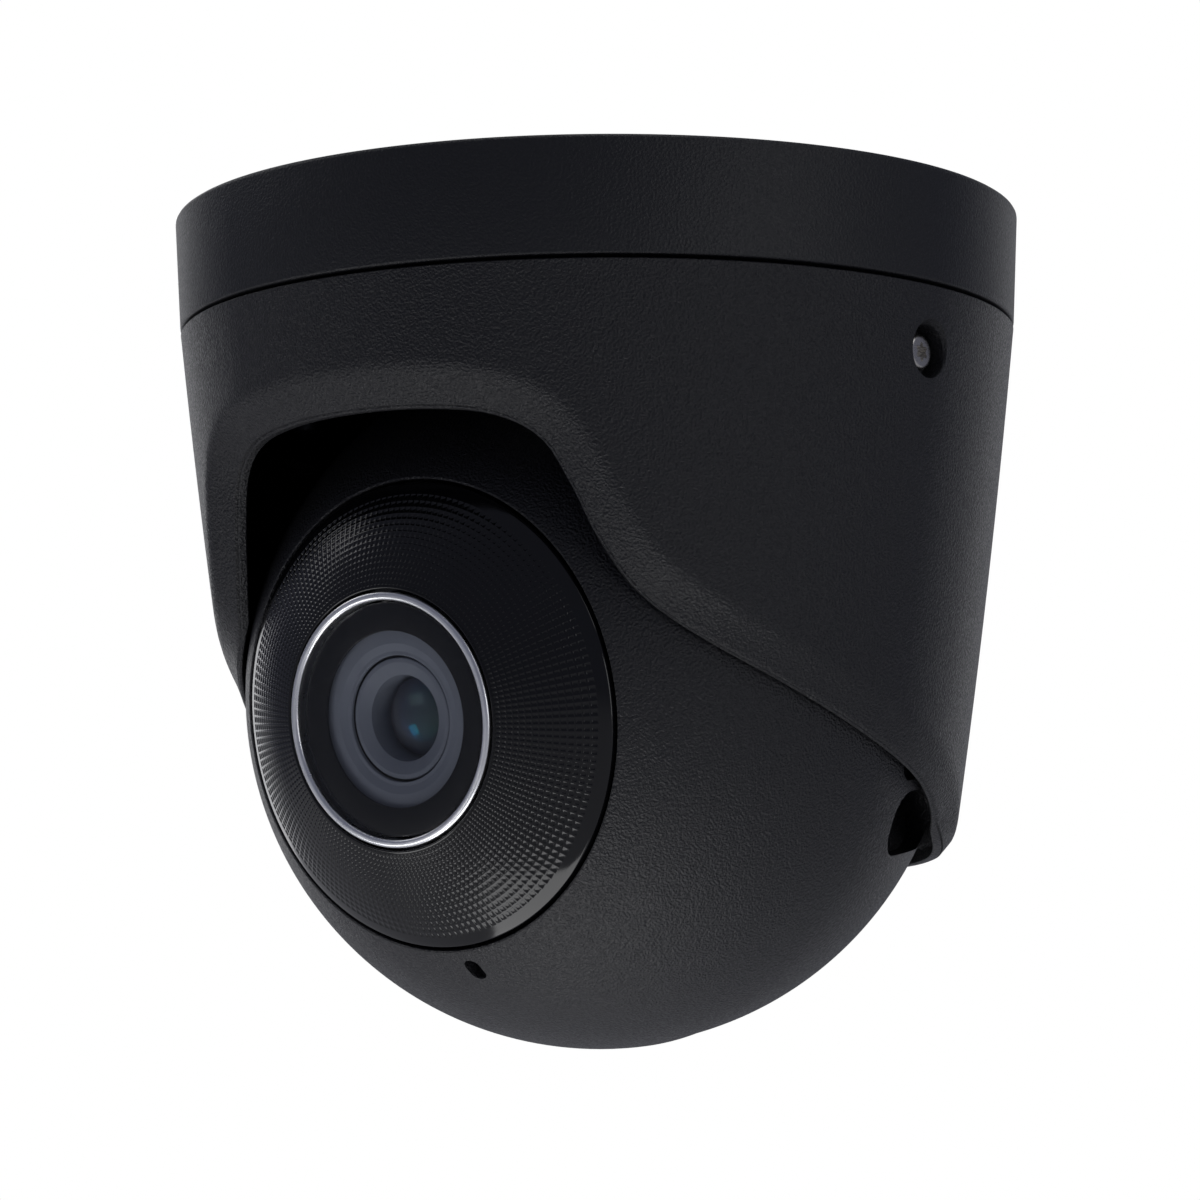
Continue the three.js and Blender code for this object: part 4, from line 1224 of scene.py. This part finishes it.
# %% Trim ring and window
trim_ring = turned(rounded([
    (14.87, 41.4, 0.1), (TRIM_RADIUS, 41.4, 0.1), (TRIM_RADIUS, 43.37, 0.42), (14.87, 43.37, 0.42),
], 8), FINE_STEPS)
keep(placed(trim_ring, BALL_FRAME), "trim_ring", "chrome_trim")
window = turned(rounded([
    (0, 42.4), (WINDOW_RADIUS, 42.4, 0.08), (WINDOW_RADIUS, 43.15, 0.15), (0, 43.15),
]), MEDIUM_STEPS)
keep(placed(window, BALL_FRAME), "window_glass", "front_window")
mask = turned(rounded([
    (11.02, 41.65, 0.06), (WINDOW_RADIUS, 41.65, 0.06), (WINDOW_RADIUS, 42.1, 0.06), (11.02, 42.1, 0.06),
]), MEDIUM_STEPS)
keep(placed(mask, BALL_FRAME), "window_mask", "black_mask")
surround = turned(rounded([
    (7.9, 40.4, 0.1), (WINDOW_RADIUS, 40.4, 0.1), (WINDOW_RADIUS, 41.3, 0.1), (9.4, 41.3, 0.3),
    (8.4, 40.95, 0.2), (7.9, 40.95, 0.1),
]), MEDIUM_STEPS)
keep(placed(surround, BALL_FRAME), "lens_surround", "grey_surround_ring")

# %% Lens barrel and glass
barrel = turned(rounded([
    (5.41, 39.8, 0.12), (5.41, 39.95, 0.05), (7.0, 40.6, 0.1), (7.59, 40.6, 0.15), (7.59, 36, 0.2),
    (6, 35.2, 0.2), (6, 22.3, 0.2), (4.2, 22.3, 0.2), (4.2, 26, 0.1), (5.2, 27, 0.1), (5.2, 35.4, 0.1),
]), 128)
keep(placed(barrel, BALL_FRAME), "lens_barrel", "lens_barrel_turned")


def dome(radius, rim, top):
    """Points over a lens face from its rim to its middle, on one shallow sphere."""
    steps = 16
    rise = top - rim
    ball = (radius * radius + rise * rise) / (2 * rise)
    angles = [math.asin(radius / ball) * (1 - i / steps) for i in range(steps + 1)]
    return [(ball * math.sin(a), top - ball + ball * math.cos(a)) for a in angles]


front_lens = turned([(0, 36.1), (4.9, 36.1), (4.9, 36.9), *dome(4.8, 37.0, 39.1)[:-1], (0, 39.1)], 128)
keep(placed(front_lens, BALL_FRAME), "lens_front_element", "front_lens")
rear_lens_top = dome(3.9, 25.6, 26.2)[:-1]
rear_lens_under = [(r, 49.4 - z) for r, z in dome(3.9, 25.5, 26.2)][::-1]
rear_lens = turned([*rear_lens_under, *rear_lens_top, (0, 26.2)], 96)
keep(placed(rear_lens, BALL_FRAME), "lens_rear_element", "rear_lens")

# %% [markdown]
# ## Screws
# Four kinds of small pan-head screw hold the boards, the ring, the shells and the core. One
# function turns the screw and cuts its cross recess, and each kind is modelled once and copied.

# %% Machine screws
def machine_screw(shank, length, head, head_height):
    """A pan-head screw whose shank runs up from zero and whose head hangs below."""
    body = turned(rounded([
        (0, -head_height), (head * 0.85, -head_height, 0.25), (head, -head_height * 0.3, 0.2),
        (head, 0, 0.1),
        (shank, 0), (shank, length, 0.2), (0, length),
    ]), 48)
    arm_length, arm_width, depth = head * 0.62, head * 0.14, head_height * 0.55
    for turn in (0, 90):
        bar = prism(box_outline(-arm_length, -arm_width, arm_length, arm_width, arm_width * 0.5),
                    -head_height - 1, -head_height + depth)
        carve(body, placed(bar, round_z(turn)))
    return body


def fit_screws(model, places, node, name, slot=None):
    for number, place in enumerate(places, 1):
        keep(copy_of(model, place), f"{node}_{number}", f"{name}_{number}", slot)
    bpy.data.objects.remove(model)


fit_screws(machine_screw(0.9, 4.6, 2.2, 1.3), [m @ moved(0, 0, -7.2) for m in BOARD_POSTS],
           "base_board_screw", "board_screw")
# The ring screws take the near-black aluminium finish, partly as painted shade for the dark inside.
fit_screws(machine_screw(0.9, 7, 1.9, 1.1), [m @ moved(0, 0, -27.1) for m in RING_SCREWS],
           "retaining_ring_screw", "ring_screw", "cast_aluminium")
fit_screws(machine_screw(0.9, 14, 2.3, 1.6), [BALL_FRAME @ m @ moved(0, 0, -7.3) for m in SHELL_SCREWS],
           "shell_screw", "shell_fixing")
fit_screws(machine_screw(0.9, 8, 2.1, 1.2), [BALL_FRAME @ m @ moved(0, 0, 5.7) for m in CORE_POSTS],
           "core_screw", "core_fixing")

# %% Tilt pivots
pivot = turned(rounded([
    (0, 37), (1.7, 37, 0.2), (1.7, 42), (2.65, 42, 0.1), (2.65, 45.05), (4.2, 45.05, 0.15),
    (4.2, 45.9, 0.2), (0, 45.9),
]))
carve(pivot, prism(lobed_outline(1.2, 0.22), 45.3, 47))
other_pivot = copy_of(pivot, BALL_FRAME @ MIRROR_X @ ALONG_X)
keep(placed(pivot, BALL_FRAME @ ALONG_X), "tilt_pivot_right", "tilt_screw_right")
keep(other_pivot, "tilt_pivot_left", "tilt_screw_left")

# %% [markdown]
# ## Parts kept from the frame
# The boards, sockets, chips and brackets inside are plain plates and blocks whose engineering
# shape is already right. They stay as they are and only get their finishes.

# %% Finishes for the parts inside
replaced = {name for piece in bpy.data.objects for name in piece.get("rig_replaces", [])}
kept = 0
for node, piece in frame["nodes"].items():
    if node in replaced:
        continue
    for socket in piece.material_slots:
        socket.material = FINISHES[SLOT_OF[node]]
    kept += 1
print("parts kept from the frame:", kept)
